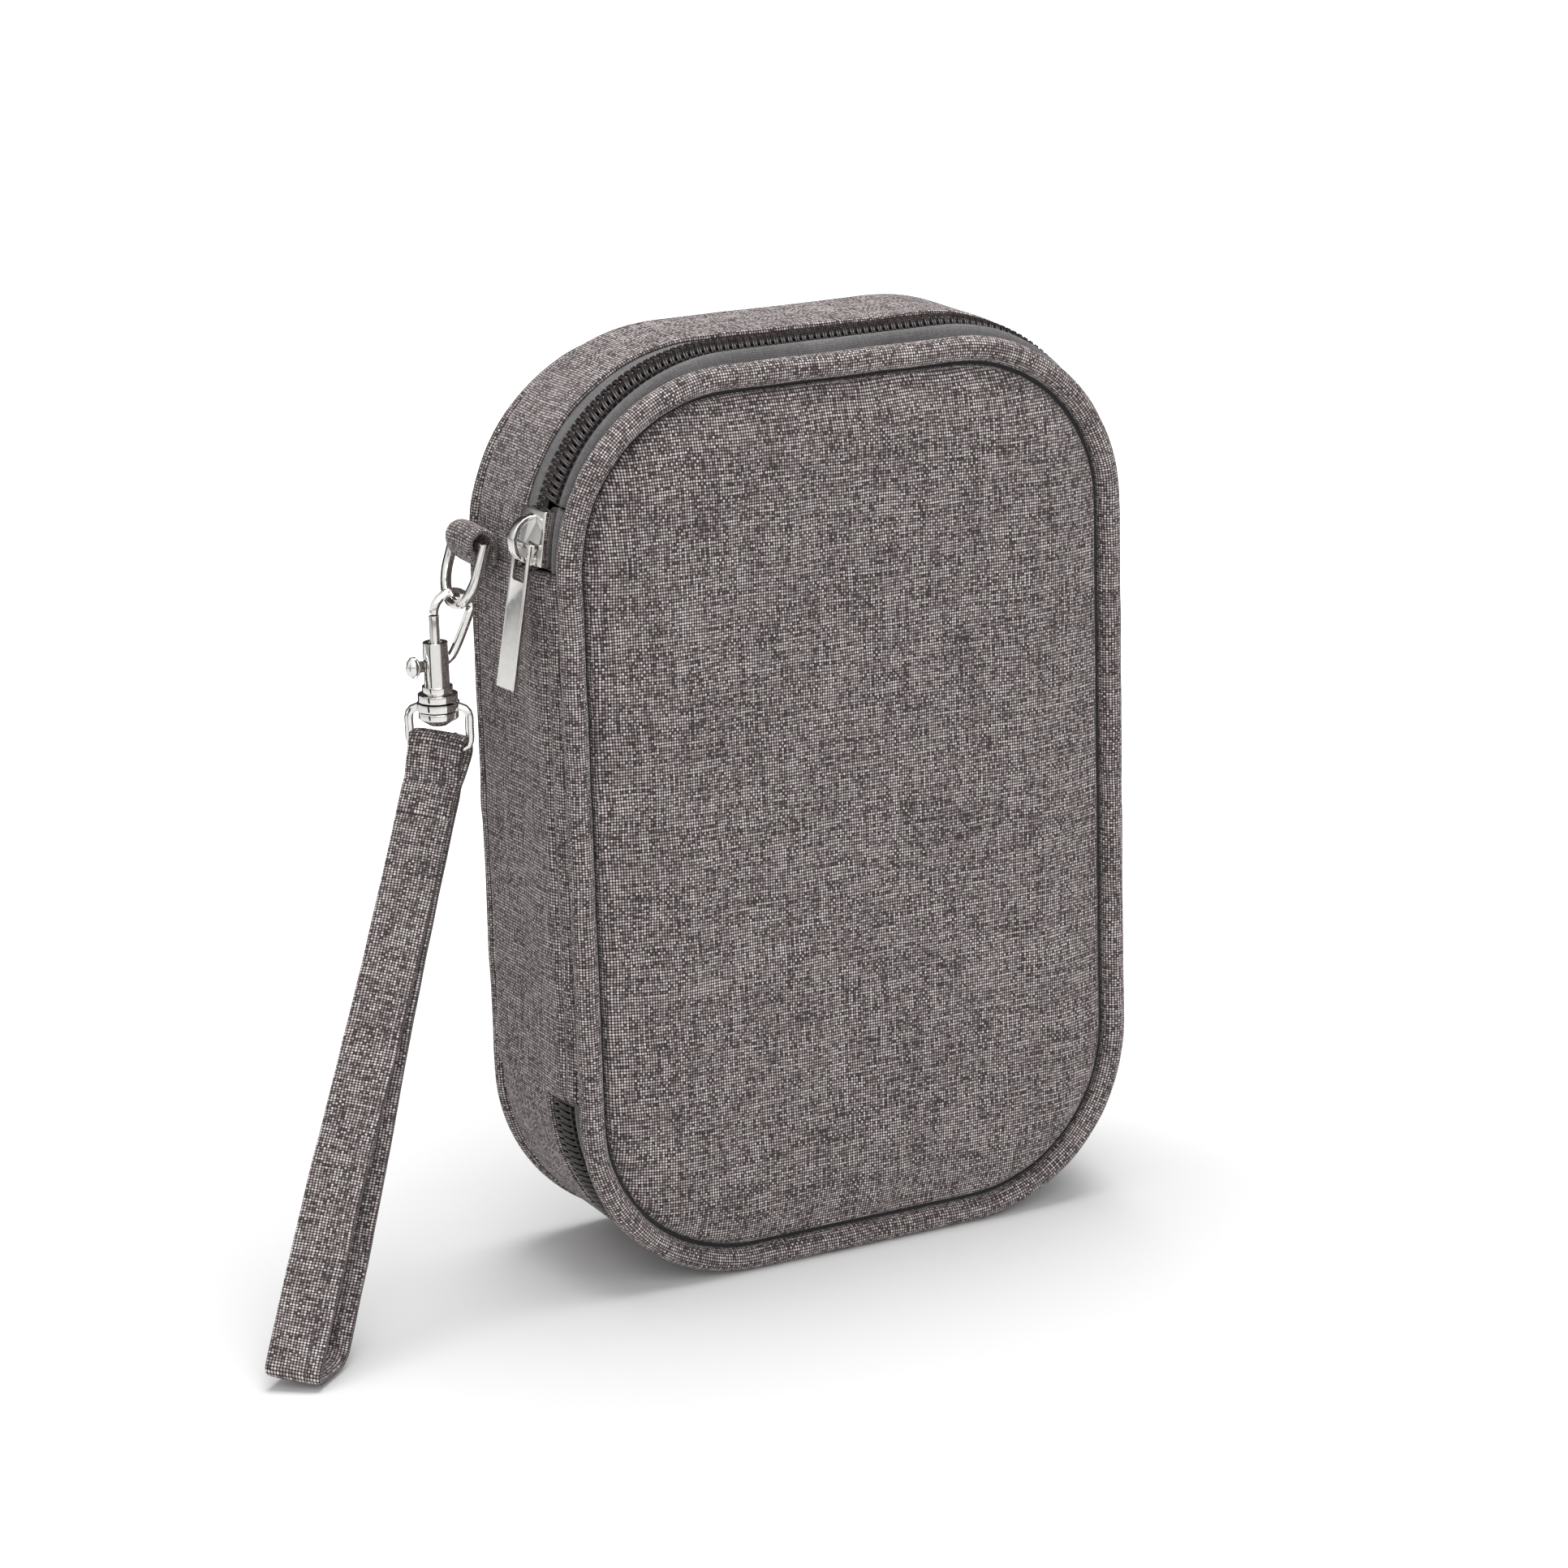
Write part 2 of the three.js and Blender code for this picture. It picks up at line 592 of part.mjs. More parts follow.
const gateBottom = knobZ - KNOB_NECK;

const snap = new THREE.Group();
snap.position.set(bowCentre.x - HOOK_RADIUS, TAB_Y, 0);
model.add(snap);

function snapHook() {
  const rootZ = barrelTop - BARREL_LENGTH / 2;
  const bow = [
    new THREE.Vector3(BARREL_RADIUS - HOOK_WIRE / 2, 0, rootZ),
    new THREE.Vector3(HOOK_RADIUS, 0, rootZ + HOOK_WIRE),
  ];
  for (let i = 0; i <= BOW_STEPS; i += 1) {
    const angle = (Math.PI * i) / BOW_STEPS;
    const reach = HOOK_RADIUS * (1 + Math.cos(angle));
    bow.push(new THREE.Vector3(reach, 0, bowCentre.z + HOOK_RADIUS * Math.sin(angle)));
  }
  const barrel = turned([
    [0, flangeBottom],
    [FLANGE_RADIUS, flangeBottom],
    [FLANGE_RADIUS, flangeTop],
    [WAIST_RADIUS, flangeTop],
    [WAIST_RADIUS, collarBottom],
    [COLLAR_RADIUS, collarBottom],
    [COLLAR_RADIUS, barrelBottom],
    [BARREL_RADIUS, barrelBottom],
    [BARREL_RADIUS, barrelTop],
    [0, barrelTop],
  ]);
  const bore = post(BORE_RADIUS, flangeTop, barrelTop + RUN_GAP);
  const slotHalf = KNOB_NECK / 2 + RUN_GAP;
  const slotTop = knobZ + KNOB_NECK + RUN_GAP;
  const slot = block(-FAR, 0, -slotHalf, slotHalf, gateBottom - GATE_TRAVEL - RUN_GAP, slotTop);
  const body = barrel.add(wire(HOOK_WIRE, bow, HOOK_STEPS)).subtract(bore);
  addPart("snap_hook", body.subtract(slot), NICKEL, snap);
}

function gateBolt() {
  const knobX = -COLLAR_RADIUS - RUN_GAP - KNOB_RADIUS;
  const pin = post(BORE_RADIUS - RUN_GAP, gateBottom, bowCentre.z - RUN_GAP);
  const neck = block(knobX, 0, -KNOB_NECK / 2, KNOB_NECK / 2, gateBottom, knobZ + KNOB_NECK);
  const knob = new THREE.SphereGeometry(KNOB_RADIUS, ROUND_SIDES / 2, ROUND_SIDES / 2);
  knob.scale(1, 1, KNOB_HEIGHT / (2 * KNOB_RADIUS));
  knob.translate(knobX, 0, knobZ);
  addPart("gate_bolt", join(pin, neck, solid(knob)), NICKEL, snap);
}

// The spring is a closed sleeve of its coils, hidden in the bore
function gateSpring() {
  const outer = BORE_RADIUS - RUN_GAP / 2;
  const sleeve = post(outer, flangeTop + SEAM_GAP, gateBottom - SEAM_GAP);
  addPart("gate_spring", sleeve.subtract(post(outer / 2, 0, FAR)), SPRING_STEEL, snap);
}

function swivelStud() {
  const studTop = flangeBottom - SEAM_GAP / 2;
  const stud = turned([
    [0, capTop - CAP_HEIGHT],
    [CAP_RADIUS / 2, capTop - CAP_HEIGHT],
    [CAP_RADIUS, capTop - CAP_HEIGHT / 2],
    [CAP_RADIUS, capTop],
    [STUD_RADIUS, capTop],
    [STUD_RADIUS, studTop],
    [0, studTop],
  ]);
  addPart("swivel_stud", stud, NICKEL, snap);
}

const eyeTurn = new THREE.Group();
eyeTurn.rotation.z = degrees(EYE_TURN);
snap.add(eyeTurn);

// The eye's wire leaves its ring at both sides and carries the strap on its bar
function strapEye() {
  const side = EYE_WIDTH / 2 - EYE_WIRE / 2;
  const shoulder = eyeTop - EYE_WIRE / 2;
  const bend = EYE_WIRE;
  const half = [
    [EYE_RING_RADIUS - EYE_WIRE / 2, shoulder],
    [side - bend / 2, shoulder - bend / 4],
    [side, shoulder - bend],
    [side, (shoulder + barZ) / 2],
    [side, barZ + bend],
    [side - bend / 4, barZ + bend / 4],
    [side - bend, barZ],
  ];
  const right = half.map(([x, z]) => new THREE.Vector3(x, 0, z));
  const left = half.map(([x, z]) => new THREE.Vector3(-x, 0, z)).reverse();
  const loop = wire(EYE_WIRE, [...right, new THREE.Vector3(0, 0, barZ), ...left], EYE_STEPS);
  const capRoom = post(CAP_RADIUS + RUN_GAP, barZ + EYE_WIRE, eyeBottom);
  const hole = post(STUD_RADIUS + RUN_GAP, barZ + EYE_WIRE, FAR);
  const ring = post(EYE_RING_RADIUS, eyeBottom, eyeTop);
  addPart("strap_eye", ring.add(loop.subtract(capRoom)).subtract(hole), NICKEL, eyeTurn);
}

// Wrist strap: its side view is a long loop, folded round the eye's bar and sewn below it
const strapRise = Math.min(1, (barZ - STRAP_STAND) / STRAP_LENGTH);
const strapReach = Math.sqrt(1 - strapRise ** 2);
const leanTurn = degrees(STRAP_TURN - EYE_TURN);
const strapAlong = new THREE.Vector3(
  strapReach * Math.cos(leanTurn),
  strapReach * Math.sin(leanTurn),
  strapRise,
);
const strapAcross = new THREE.Vector3(1, 0, 0).projectOnPlane(strapAlong).normalize();
const strapThrough = new THREE.Vector3().crossVectors(strapAlong, strapAcross);
strapThrough.addScaledVector(strapAcross, STRAP_SKEW);

// The foot lies level on the floor, so the front run reaches further down than the rear run
const footSlope = -strapThrough.z / strapAlong.z;
const barHole = EYE_WIRE / 2 + 2 * RUN_GAP;
const foldRadius = barHole + STRAP_PLY;
const sewnTop = -2 * foldRadius;
const sewnBottom = sewnTop - STRAP_SEWN;

function strapLoop(target, neck, top, half, footZ, bend) {
  const frontZ = footZ - half * footSlope;
  const rearZ = footZ + half * footSlope;
  const swell = (top + frontZ) / 2;
  target.bezierCurveTo(-neck, swell, -half, swell, -half, frontZ + bend);
  target.quadraticCurveTo(-half, frontZ, bend - half, frontZ + bend * footSlope);
  target.lineTo(half - bend, rearZ - bend * footSlope);
  target.quadraticCurveTo(half, rearZ, half, rearZ + bend);
  target.bezierCurveTo(half, swell, neck, swell, neck, top);
}

function strapSide() {
  const side = new THREE.Shape();
  side.absarc(0, 0, foldRadius, 0, Math.PI);
  side.lineTo(-STRAP_PLY, sewnTop);
  side.lineTo(-STRAP_PLY, sewnBottom);
  strapLoop(side, STRAP_PLY, sewnBottom, STRAP_GAP / 2 + STRAP_PLY, -STRAP_LENGTH, STRAP_FOOT_BEND);
  side.lineTo(STRAP_PLY, sewnTop);
  const hand = new THREE.Path();
  const handTop = sewnBottom - STRAP_PLY;
  const handFoot = STRAP_PLY * Math.hypot(1, footSlope) - STRAP_LENGTH;
  hand.moveTo(0, handTop);
  strapLoop(hand, 0, handTop, STRAP_GAP / 2, handFoot, STRAP_FOOT_BEND - STRAP_PLY);
  side.holes.push(hand);
  return side;
}

// A round bar along the eye's own bar
function alongBar(radius) {
  const geometry = new THREE.CylinderGeometry(radius, radius, FAR, ROUND_SIDES);
  geometry.rotateZ(Math.PI / 2);
  geometry.translate(0, 0, barZ);
  return solid(geometry);
}

function wristStrap() {
  const place = new THREE.Matrix4().makeBasis(strapThrough, strapAcross.clone().negate(), strapAlong);
  place.setPosition(0, 0, barZ);
  const options = { curveSegments: 2 * CORNER_STEPS };
  const geometry = plank(strapSide(), -STRAP_WIDTH / 2, STRAP_WIDTH / 2, options);
  geometry.applyMatrix4(place);
  const legRoom = EYE_WIDTH / 2 - EYE_WIRE - RUN_GAP;
  const between = block(-legRoom, legRoom, -FAR, FAR, -FAR, FAR);
  const askew = (STRAP_WIDTH / 2) * Math.abs(strapAlong.x);
  const besideLegs = alongBar(foldRadius + askew + RUN_GAP).subtract(between);
  const strap = solid(geometry).subtract(alongBar(barHole)).subtract(besideLegs);
  addPart("wrist_strap", strap, CLOTH, eyeTurn);
}

sideBand();
zip();
rear();
elasticLoops();
lid();
zipSlider();
zipPull();
sideTab();
dRing();
snapHook();
gateBolt();
gateSpring();
swivelStud();
strapEye();
wristStrap();

export default model;
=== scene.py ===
"""Looks of a zipped meter case: padded cloth, piping, a coil zip, a nickel snap hook and a wrist strap."""

import json
import math

import bmesh
import bpy
from bpy.props import FloatProperty, FloatVectorProperty, IntProperty, PointerProperty
from mathutils import Matrix, Vector, noise
from mathutils.geometry import interpolate_bezier


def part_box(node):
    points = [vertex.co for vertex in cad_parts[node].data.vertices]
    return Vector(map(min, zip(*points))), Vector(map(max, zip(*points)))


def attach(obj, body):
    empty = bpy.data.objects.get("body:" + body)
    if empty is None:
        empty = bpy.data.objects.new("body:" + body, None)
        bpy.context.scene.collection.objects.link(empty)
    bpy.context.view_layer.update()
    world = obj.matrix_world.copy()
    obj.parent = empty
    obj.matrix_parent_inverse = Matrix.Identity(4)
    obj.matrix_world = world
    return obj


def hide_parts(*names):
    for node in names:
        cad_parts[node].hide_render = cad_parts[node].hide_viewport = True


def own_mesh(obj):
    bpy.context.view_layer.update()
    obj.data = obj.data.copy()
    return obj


bl_info = {
    "name": "Zipped Meter Case",
    "version": (1, 0, 0),
    "blender": (4, 5, 0),
    "location": "View3D > Sidebar > Meter Case",
    "description": "Dresses a zipped cloth case with its weave, zip, metal fittings and strap",
    "category": "Object",
}

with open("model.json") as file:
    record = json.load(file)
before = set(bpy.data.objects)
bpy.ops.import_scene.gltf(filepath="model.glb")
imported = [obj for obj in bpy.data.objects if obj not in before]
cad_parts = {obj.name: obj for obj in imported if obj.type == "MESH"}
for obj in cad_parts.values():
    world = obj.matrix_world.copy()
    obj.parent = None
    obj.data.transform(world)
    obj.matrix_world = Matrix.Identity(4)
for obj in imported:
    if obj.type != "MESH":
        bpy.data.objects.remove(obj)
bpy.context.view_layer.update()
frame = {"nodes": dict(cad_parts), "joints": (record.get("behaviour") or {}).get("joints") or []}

MM = 0.001
WELD = 0.002 * MM
QUARTER = math.pi / 2
CLOTH_LAYOUT = "cloth"
STEEP = 0.8
FLAT_ANGLE = math.radians(40)
OUTWARD = Matrix(((-1, 0, 0, 0), (0, 1, 0, 0), (0, 0, 1, 0), (0, 0, 0, 1)))


def length(title, words, default):
    """A size that a user may change, in metres."""
    return FloatProperty(name=title, description=words, default=default, min=0.0, unit="LENGTH", precision=5)


def tint(title, words, default):
    """A colour that a user may change."""
    return FloatVectorProperty(
        name=title, description=words, default=default, size=3, min=0.0, max=1.0, subtype="COLOR"
    )


class ClothLook(bpy.types.PropertyGroup):
    """The heather grey cloth of the case."""

    pitch: length("Thread pitch", "Distance between neighbouring threads along the cloth", 0.566 * MM)
    pitch_across: length("Cross pitch", "Distance between neighbouring threads across the cloth", 0.655 * MM)
    # The gap colour is painted shade: the dark that falls between the threads.
    gap: tint("Gap colour", "Colour in the gaps between threads", (0.022, 0.017, 0.017))
    dark: tint("Dark yarn", "Colour of the darkest stretches of yarn", (0.12, 0.098, 0.098))
    middle: tint("Middle yarn", "Colour of most of the yarn", (0.5, 0.424, 0.423))
    light: tint("Light yarn", "Colour of the slubs", (0.98, 0.9, 0.89))
    relief: length("Weave relief", "Height of a thread over its gaps", 0.16 * MM)


class CaseShape(bpy.types.PropertyGroup):
    """Forms of the padded panels, the piping and the side band."""

    corner_radius: length("Corner radius", "Outer radius of the front piping's corners", 40 * MM)
    band_radius: length("Band radius", "Radius of the side band's corners", 43 * MM)
    band_crown: length("Band crown", "How far the side band falls away at its edges", 3.2 * MM)
    crown_run: length("Band crown run", "Depth over which the side band falls away", 13.6 * MM)
    rear_roll: length("Rear roll", "Depth over which the band turns in at the rear seam", 2.8 * MM)
    rear_drop: length("Rear drop", "How far the band turns in at the rear seam", 0.9 * MM)
    rear_swell: length("Rear swell", "How far the band swells before the rear seam", 0.35 * MM)
    pad_run: length("Pad run", "Distance from a panel's edge to its full height", 21 * MM)
    pad_edge: length("Pad edge", "Thickness of a panel at its seam", 0.15 * MM)
    groove: length("Groove", "Space between a panel and its piping", 0.45 * MM)
    lip: length("Lip", "Height of the panel's rounded rim over its seam", 1.7 * MM)
    lip_run: length("Lip run", "Width of the panel's rounded rim", 5 * MM)
    pucker: length("Pucker", "Height of the small gathers along a panel's seam", 0.4 * MM)
    puff: length("Puff", "Most that a padded panel swells", 0.9 * MM)
    hem: length("Hem", "Thickness of a turned edge of the cloth", 1.2 * MM)
    seam_lap: length("Seam lap", "How far the gusset reaches into its rear seam", 0.5 * MM)
    tongue: length("Tongue", "How far the spine's cloth laps over the foot of the zip", 4.2 * MM)
    dent: length("Spine dent", "Depth of the long soft fold down the spine", 0.8 * MM)
    hem_creep: length("Hem creep", "How far the hem comes up to the coil away from the slider", 3.3 * MM)
    hem_back: length("Hem back", "How far the gusset's hem stands back from the zip", 1.3 * MM)
    crease: length("Crease", "Depth of the seam line on the spine", 0.8 * MM)
    rumple: length("Rumple", "Height of the soft folds on the side band", 0.45 * MM)


class ZipLook(bpy.types.PropertyGroup):
    """The coil zip."""

    pitch: length("Tooth pitch", "Distance between neighbouring turns of a coil", 1.64 * MM)
    filament: length("Filament", "Thickness of the coil's filament", 0.6 * MM)
    bead_width: length("Bead width", "Width of the rounded edge of the front tape", 2.6 * MM)
    bead_rise: length("Bead rise", "Height of the rounded edge over the tape", 2.0 * MM)
    tape: tint("Tape colour", "Colour of the woven tape", (0.18, 0.174, 0.176))
    coil: tint("Coil colour", "Colour of the nylon coil", (0.03, 0.022, 0.021))


class MetalLook(bpy.types.PropertyGroup):
    """The polished nickel fittings."""

    colour: tint("Nickel colour", "Colour of the plating", (0.8, 0.785, 0.76))
    roughness: FloatProperty(
        name="Roughness", description="Roughness of the plating", default=0.085, min=0.0, max=1.0,
        subtype="FACTOR"
    )
    edge: length("Edge", "Rounding of the cast edges", 0.22 * MM)
    spring_wire: length("Spring wire", "Thickness of the gate spring's wire", 0.4 * MM)
    spring_turns: IntProperty(name="Spring turns", description="Turns of the gate spring", default=7, min=2)


class StrapShape(bpy.types.PropertyGroup):
    """The folded wrist strap and the tab that carries its ring."""

    strap_length: length("Strap length", "From the eye's bar to the middle of the foot", 135.2 * MM)
    width: length("Strap width", "Width of the strap", 11.8 * MM)
    ply: length("Strap ply", "Thickness of one run of the strap", 1.9 * MM)
    gap: length("Hand gap", "Gap between the runs at the foot", 9 * MM)
    sewn: length("Sewn length", "Length over which the runs are sewn together", 8 * MM)
    stand: length("Stand", "Height of the foot's middle over the floor", 1.5 * MM)
    bend: length("Foot bend", "Length of each bend at the foot", 4 * MM)
    bar_room: length("Bar room", "Radius of the fold round the eye's bar", 1.65 * MM)
    lean_turn: FloatProperty(
        name="Lean direction", description="Direction of the lean in plan", default=math.radians(37.3),
        subtype="ANGLE"
    )
    skew: FloatProperty(name="Skew", description="Sideways shift between the two runs", default=0.22)
    tab_ply: length("Tab ply", "Thickness of the tab's cloth", 1.5 * MM)
    stitch: length("Stitch", "Length of one stitch", 2.1 * MM)
    stitch_gap: length("Stitch gap", "Space between two stitches", 0.8 * MM)
    thread: length("Thread", "Thickness of the sewing thread", 0.42 * MM)


class StageLook(bpy.types.PropertyGroup):
    """Floor, lights and camera."""

    floor: tint("Floor colour", "Colour of the floor", (0.82, 0.82, 0.82))
    key: FloatProperty(name="Key light", description="Power of the softbox in front", default=13.0, min=0.0)
    top: FloatProperty(name="Top light", description="Power of the softbox above", default=31.0, min=0.0)
    fill: FloatProperty(name="Fill", description="Strength of light from all round", default=0.36, min=0.0)
    lift: FloatProperty(
        name="Floor lift", description="Brightness that whitens the far floor", default=0.8, min=0.0
    )
    near_lift: FloatProperty(
        name="Near lift", description="Brightness added to the floor round the case", default=0.03, min=0.0
    )
    lens: FloatProperty(name="Lens", description="Focal length, in millimetres", default=104.69)


# Outlines of the case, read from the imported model


class Edges:
    """A rounded rectangle in the X-Z plane."""

    def __init__(self, left, right, bottom, top, radius):
        self.left, self.right, self.bottom, self.top, self.radius = left, right, bottom, top, radius

    def grown(self, by):
        """The outline moved out by a distance."""
        return Edges(self.left - by, self.right + by, self.bottom - by, self.top + by, self.radius + by)

    def starts(self):
        """Start point, length and turn centre of each side: left, top, right and bottom."""
        r = self.radius
        tall = self.top - self.bottom - 2 * r
        wide = self.right - self.left - 2 * r
        low, high = self.bottom + r, self.top - r
        near, far = self.left + r, self.right - r
        return (
            (Vector((self.left, 0, low)), tall, Vector((near, 0, high))),
            (Vector((near, 0, self.top)), wide, Vector((far, 0, high))),
            (Vector((self.right, 0, high)), tall, Vector((far, 0, low))),
            (Vector((far, 0, self.bottom)), wide, Vector((near, 0, low))),
        )

    def around(self):
        """Length of the outline."""
        return sum(run for _, run, _ in self.starts()) + 4 * QUARTER * self.radius

    def at_left(self, z):
        """Length along the outline of a height on the left side, or on the corner above it."""
        run = z - self.bottom - self.radius
        tall = self.starts()[0][1]
        if run <= tall:
            return run
        return tall + self.radius * math.asin((run - tall) / self.radius)

    def inset(self, x, z):
        """How far a point lies inside the outline."""
        middle_x, middle_z = (self.left + self.right) / 2, (self.bottom + self.top) / 2
        dx = abs(x - middle_x) - (self.right - self.left) / 2 + self.radius
        dz = abs(z - middle_z) - (self.top - self.bottom) / 2 + self.radius
        outside = math.hypot(max(dx, 0), max(dz, 0)) + min(max(dx, dz), 0)
        return self.radius - outside

    def frames(self, start, stop, step=4 * MM, turn_steps=14):
        """Frames along the outline between two lengths. Their axes are out, +Y and along."""
        marks = []
        place = 0.0
        arc = QUARTER * self.radius
        while place < stop:
            for _, run, _ in self.starts():
                shares = max(1, math.ceil(run / step))
                marks += [place + run * i / shares for i in range(shares)]
                place += run
                marks += [place + arc * i / turn_steps for i in range(turn_steps)]
                place += arc
        kept = [mark for mark in marks if start + WELD < mark < stop - WELD]
        return [(mark, self.frame_at(mark)) for mark in (start, *kept, stop)]

    def frame_at(self, place):
        """The frame at one length along the outline."""
        place = place % self.around()
        arc = QUARTER * self.radius
        for side, (origin, run, centre) in enumerate(self.starts()):
            facing = Matrix.Rotation(side * QUARTER, 4, "Y")
            straight = min(place, run)
            here = Matrix.Translation(origin + facing @ Vector((0, 0, straight))) @ facing @ OUTWARD
            if place <= run:
                return here
            place -= run
            if place <= arc:
                pivot = Matrix.Translation(centre)
                return pivot @ Matrix.Rotation(place / self.radius, 4, "Y") @ pivot.inverted() @ here
            place -= arc
        raise ValueError("the place is past the end of the outline")


def edges_of(node, radius):
    """A CAD node's box as an outline."""
    low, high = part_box(node)
    return Edges(low.x, high.x, low.z, high.z, radius)


def clamp(share):
    """A share kept between nothing and all."""
    return min(1.0, max(0.0, share))


def dip(place, middle, width):
    """A soft dip round a place, one at its middle."""
    return math.exp(-(((place - middle) / width) ** 2))


def joint_of(name):
    """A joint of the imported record."""
    return next(joint for joint in frame["joints"] if joint["name"] == name)


# Mesh helpers


def new_bmesh():
    """An empty mesh whose vertices remember their place along and across the cloth."""
    bm = bmesh.new()
    bm.verts.layers.float.new("along")
    bm.verts.layers.float.new("across")
    return bm


def link_mesh(name, bm, material):
    """Turns a finished bmesh into an object of the scene."""
    mesh = bpy.data.meshes.new(name)
    bm.to_mesh(mesh)
    bm.free()
    mesh.materials.append(material)
    made = bpy.data.objects.new(name, mesh)
    bpy.context.scene.collection.objects.link(made)
    return made


def piece(name, bm, material, body, nodes, flat_angle=None, smooth=False):
    """Makes the mesh a piece that rides on a body and stands for CAD nodes."""
    made = link_mesh(name, bm, material)
    mesh = made.data
    for layer in ("along", "across"):
        if layer in mesh.attributes:
            mesh.attributes.remove(mesh.attributes[layer])
    mesh.shade_smooth()
    if flat_angle is not None:
        mesh.set_sharp_from_angle(angle=flat_angle)
    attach(made, body)
    if nodes:
        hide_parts(*nodes)
    if smooth:
        smooth_out(made)
    return made


def smooth_out(made):
    """Finishes a piece with a subdivision surface."""
    modifier = made.modifiers.new("Smooth", "SUBSURF")
    modifier.levels = 1
    modifier.render_levels = 1


def verts_in(geom):
    """The vertices among what an operator made."""
    return [item for item in geom if isinstance(item, bmesh.types.BMVert)]


def face_out(bm):
    """Turns the faces of a closed mesh outwards."""
    bmesh.ops.recalc_face_normals(bm, faces=bm.faces)


def second_side(bm):
    """Gives a sheet a second side and returns the vertices of that side."""
    return verts_in(bmesh.ops.extrude_face_region(bm, geom=list(bm.faces))["geom"])


def round_off(bm, edges, offset):
    """Rounds edges with a small bevel."""
    bmesh.ops.bevel(
        bm, geom=edges, offset=offset, offset_type="OFFSET", segments=3, profile=0.5, affect="EDGES",
        material=-1, clamp_overlap=True
    )


def section_ring(bm, points, start, place, closed):
    """The first section of a swept piece. Points are (out, across)."""
    along, across = bm.verts.layers.float["along"], bm.verts.layers.float["across"]
    verts = []
    run = 0.0
    last = None
    for out, side in points:
        if last is not None:
            run += math.hypot(out - last[0], side - last[1])
        last = (out, side)
        vert = bm.verts.new(start @ Vector((out, side, 0)))
        vert[along], vert[across] = place, run
        verts.append(vert)
    pairs = list(zip(verts, verts[1:]))
    if closed:
        pairs.append((verts[-1], verts[0]))
    return [bm.edges.new(pair) for pair in pairs]


def sweep(bm, points, frames, closed_section=True, closed_path=False):
    """Carries a section along frames by extruding it from one to the next."""
    along = bm.verts.layers.float["along"]
    place, last = frames[0]
    ring = section_ring(bm, points, last, place, closed_section)
    first = ring
    for place, here in frames[1:]:
        made = bmesh.ops.extrude_edge_only(bm, edges=ring)["geom"]
        verts = verts_in(made)
        fresh = set(verts)
        ring = [e for e in made if isinstance(e, bmesh.types.BMEdge) and set(e.verts) <= fresh]
        bmesh.ops.transform(bm, matrix=here @ last.inverted(), verts=verts)
        for vert in verts:
            vert[along] = place
        last = here
    if closed_section and not closed_path:
        bmesh.ops.edgeloop_fill(bm, edges=first)
        bmesh.ops.edgeloop_fill(bm, edges=ring)


def close_up(bm):
    """Welds the seams of a mesh and turns its faces outwards."""
    bmesh.ops.remove_doubles(bm, verts=bm.verts, dist=WELD)
    face_out(bm)


def lay_cloth(bm, around=None, girth=None):
    """Writes the cloth layout, in metres, from each vertex's place along and across."""
    along, across = bm.verts.layers.float["along"], bm.verts.layers.float["across"]
    layout = bm.loops.layers.uv.new(CLOTH_LAYOUT)
    for face in bm.faces:
        places = [[loop.vert[along], loop.vert[across]] for loop in face.loops]
        for axis, whole in ((0, around), (1, girth)):
            values = [place[axis] for place in places]
            if whole and max(values) - min(values) > whole / 2:
                for place in places:
                    place[axis] += whole if place[axis] < whole / 2 else 0.0
        for loop, place in zip(face.loops, places):
            loop[layout].uv = place


def lay_flat(bm, first, second):
    """Writes the cloth layout, in metres, from two coordinates, or from the third one on a steep edge."""
    layout = bm.loops.layers.uv.new(CLOTH_LAYOUT)
    third = 3 - first - second
    bm.normal_update()
    for face in bm.faces:
        u = third if abs(face.normal[first]) > STEEP else first
        v = third if abs(face.normal[second]) > STEEP else second
        for loop in face.loops:
            loop[layout].uv = (loop.vert.co[u], loop.vert.co[v])


def rumple(bm, height, size, seed, stretch=(1, 1, 1)):
    """Soft uneven folds: moves vertices along their normals by smooth noise."""
    bm.normal_update()
    shift = Vector((seed, 2.7 * seed, -1.3 * seed))
    for vert in bm.verts:
        place = Vector([vert.co[i] / (size * stretch[i]) for i in range(3)]) + shift
        vert.co += vert.normal * height * noise.noise(place)


def circle_points(radius, sides, out=0.0, across=0.0):
    """A round section."""
    turns = [2 * math.pi * i / sides for i in range(sides)]
    return [(out + radius * math.cos(a), across + radius * math.sin(a)) for a in turns]


def strip_points(width, thick, spans=8, soft=0.35):
    """The section of a flat strip of cloth, thinner at its soft edges."""
    half = width / 2
    face = []
    for i in range(spans + 1):
        side = half * math.sin(QUARTER * (2 * i / spans - 1))
        rise = thick / 2 * (1 - soft * abs(side / half) ** 6)
        face.append((rise, side))
    back = [(-rise, side) for rise, side in reversed(face)]
    return face + back


def path_frames(points, axis=1, closed=False):
    """Frames along a flat path of (u, v) points. Out is left of the path, and across is the plane's axis."""
    frames = []
    run = 0.0
    count = len(points)
    for i, here in enumerate(points):
        before = points[i - 1] if i or closed else here
        after = points[(i + 1) % count] if i + 1 < count or closed else here
        ahead = (after - before).normalized()
        if i:
            run += (here - points[i - 1]).length
        u, v = ahead.x, ahead.y
        rows = {
            1: ((-v, 0, u, here.x), (0, 1, 0, 0), (u, 0, v, here.y)),
            2: ((-v, 0, u, here.x), (u, 0, v, here.y), (0, 1, 0, 0)),
        }[axis]
        frames.append((run, Matrix((*rows, (0, 0, 0, 1)))))
    if closed:
        run += (points[0] - points[-1]).length
        frames.append((run, frames[0][1].copy()))
    return frames


def bezier(points, count):
    """A cubic curve through the plane, without its first point."""
    knots = [Vector((u, v, 0)) for u, v in points]
    return [p.xy for p in interpolate_bezier(*knots, count + 1)[1:]]


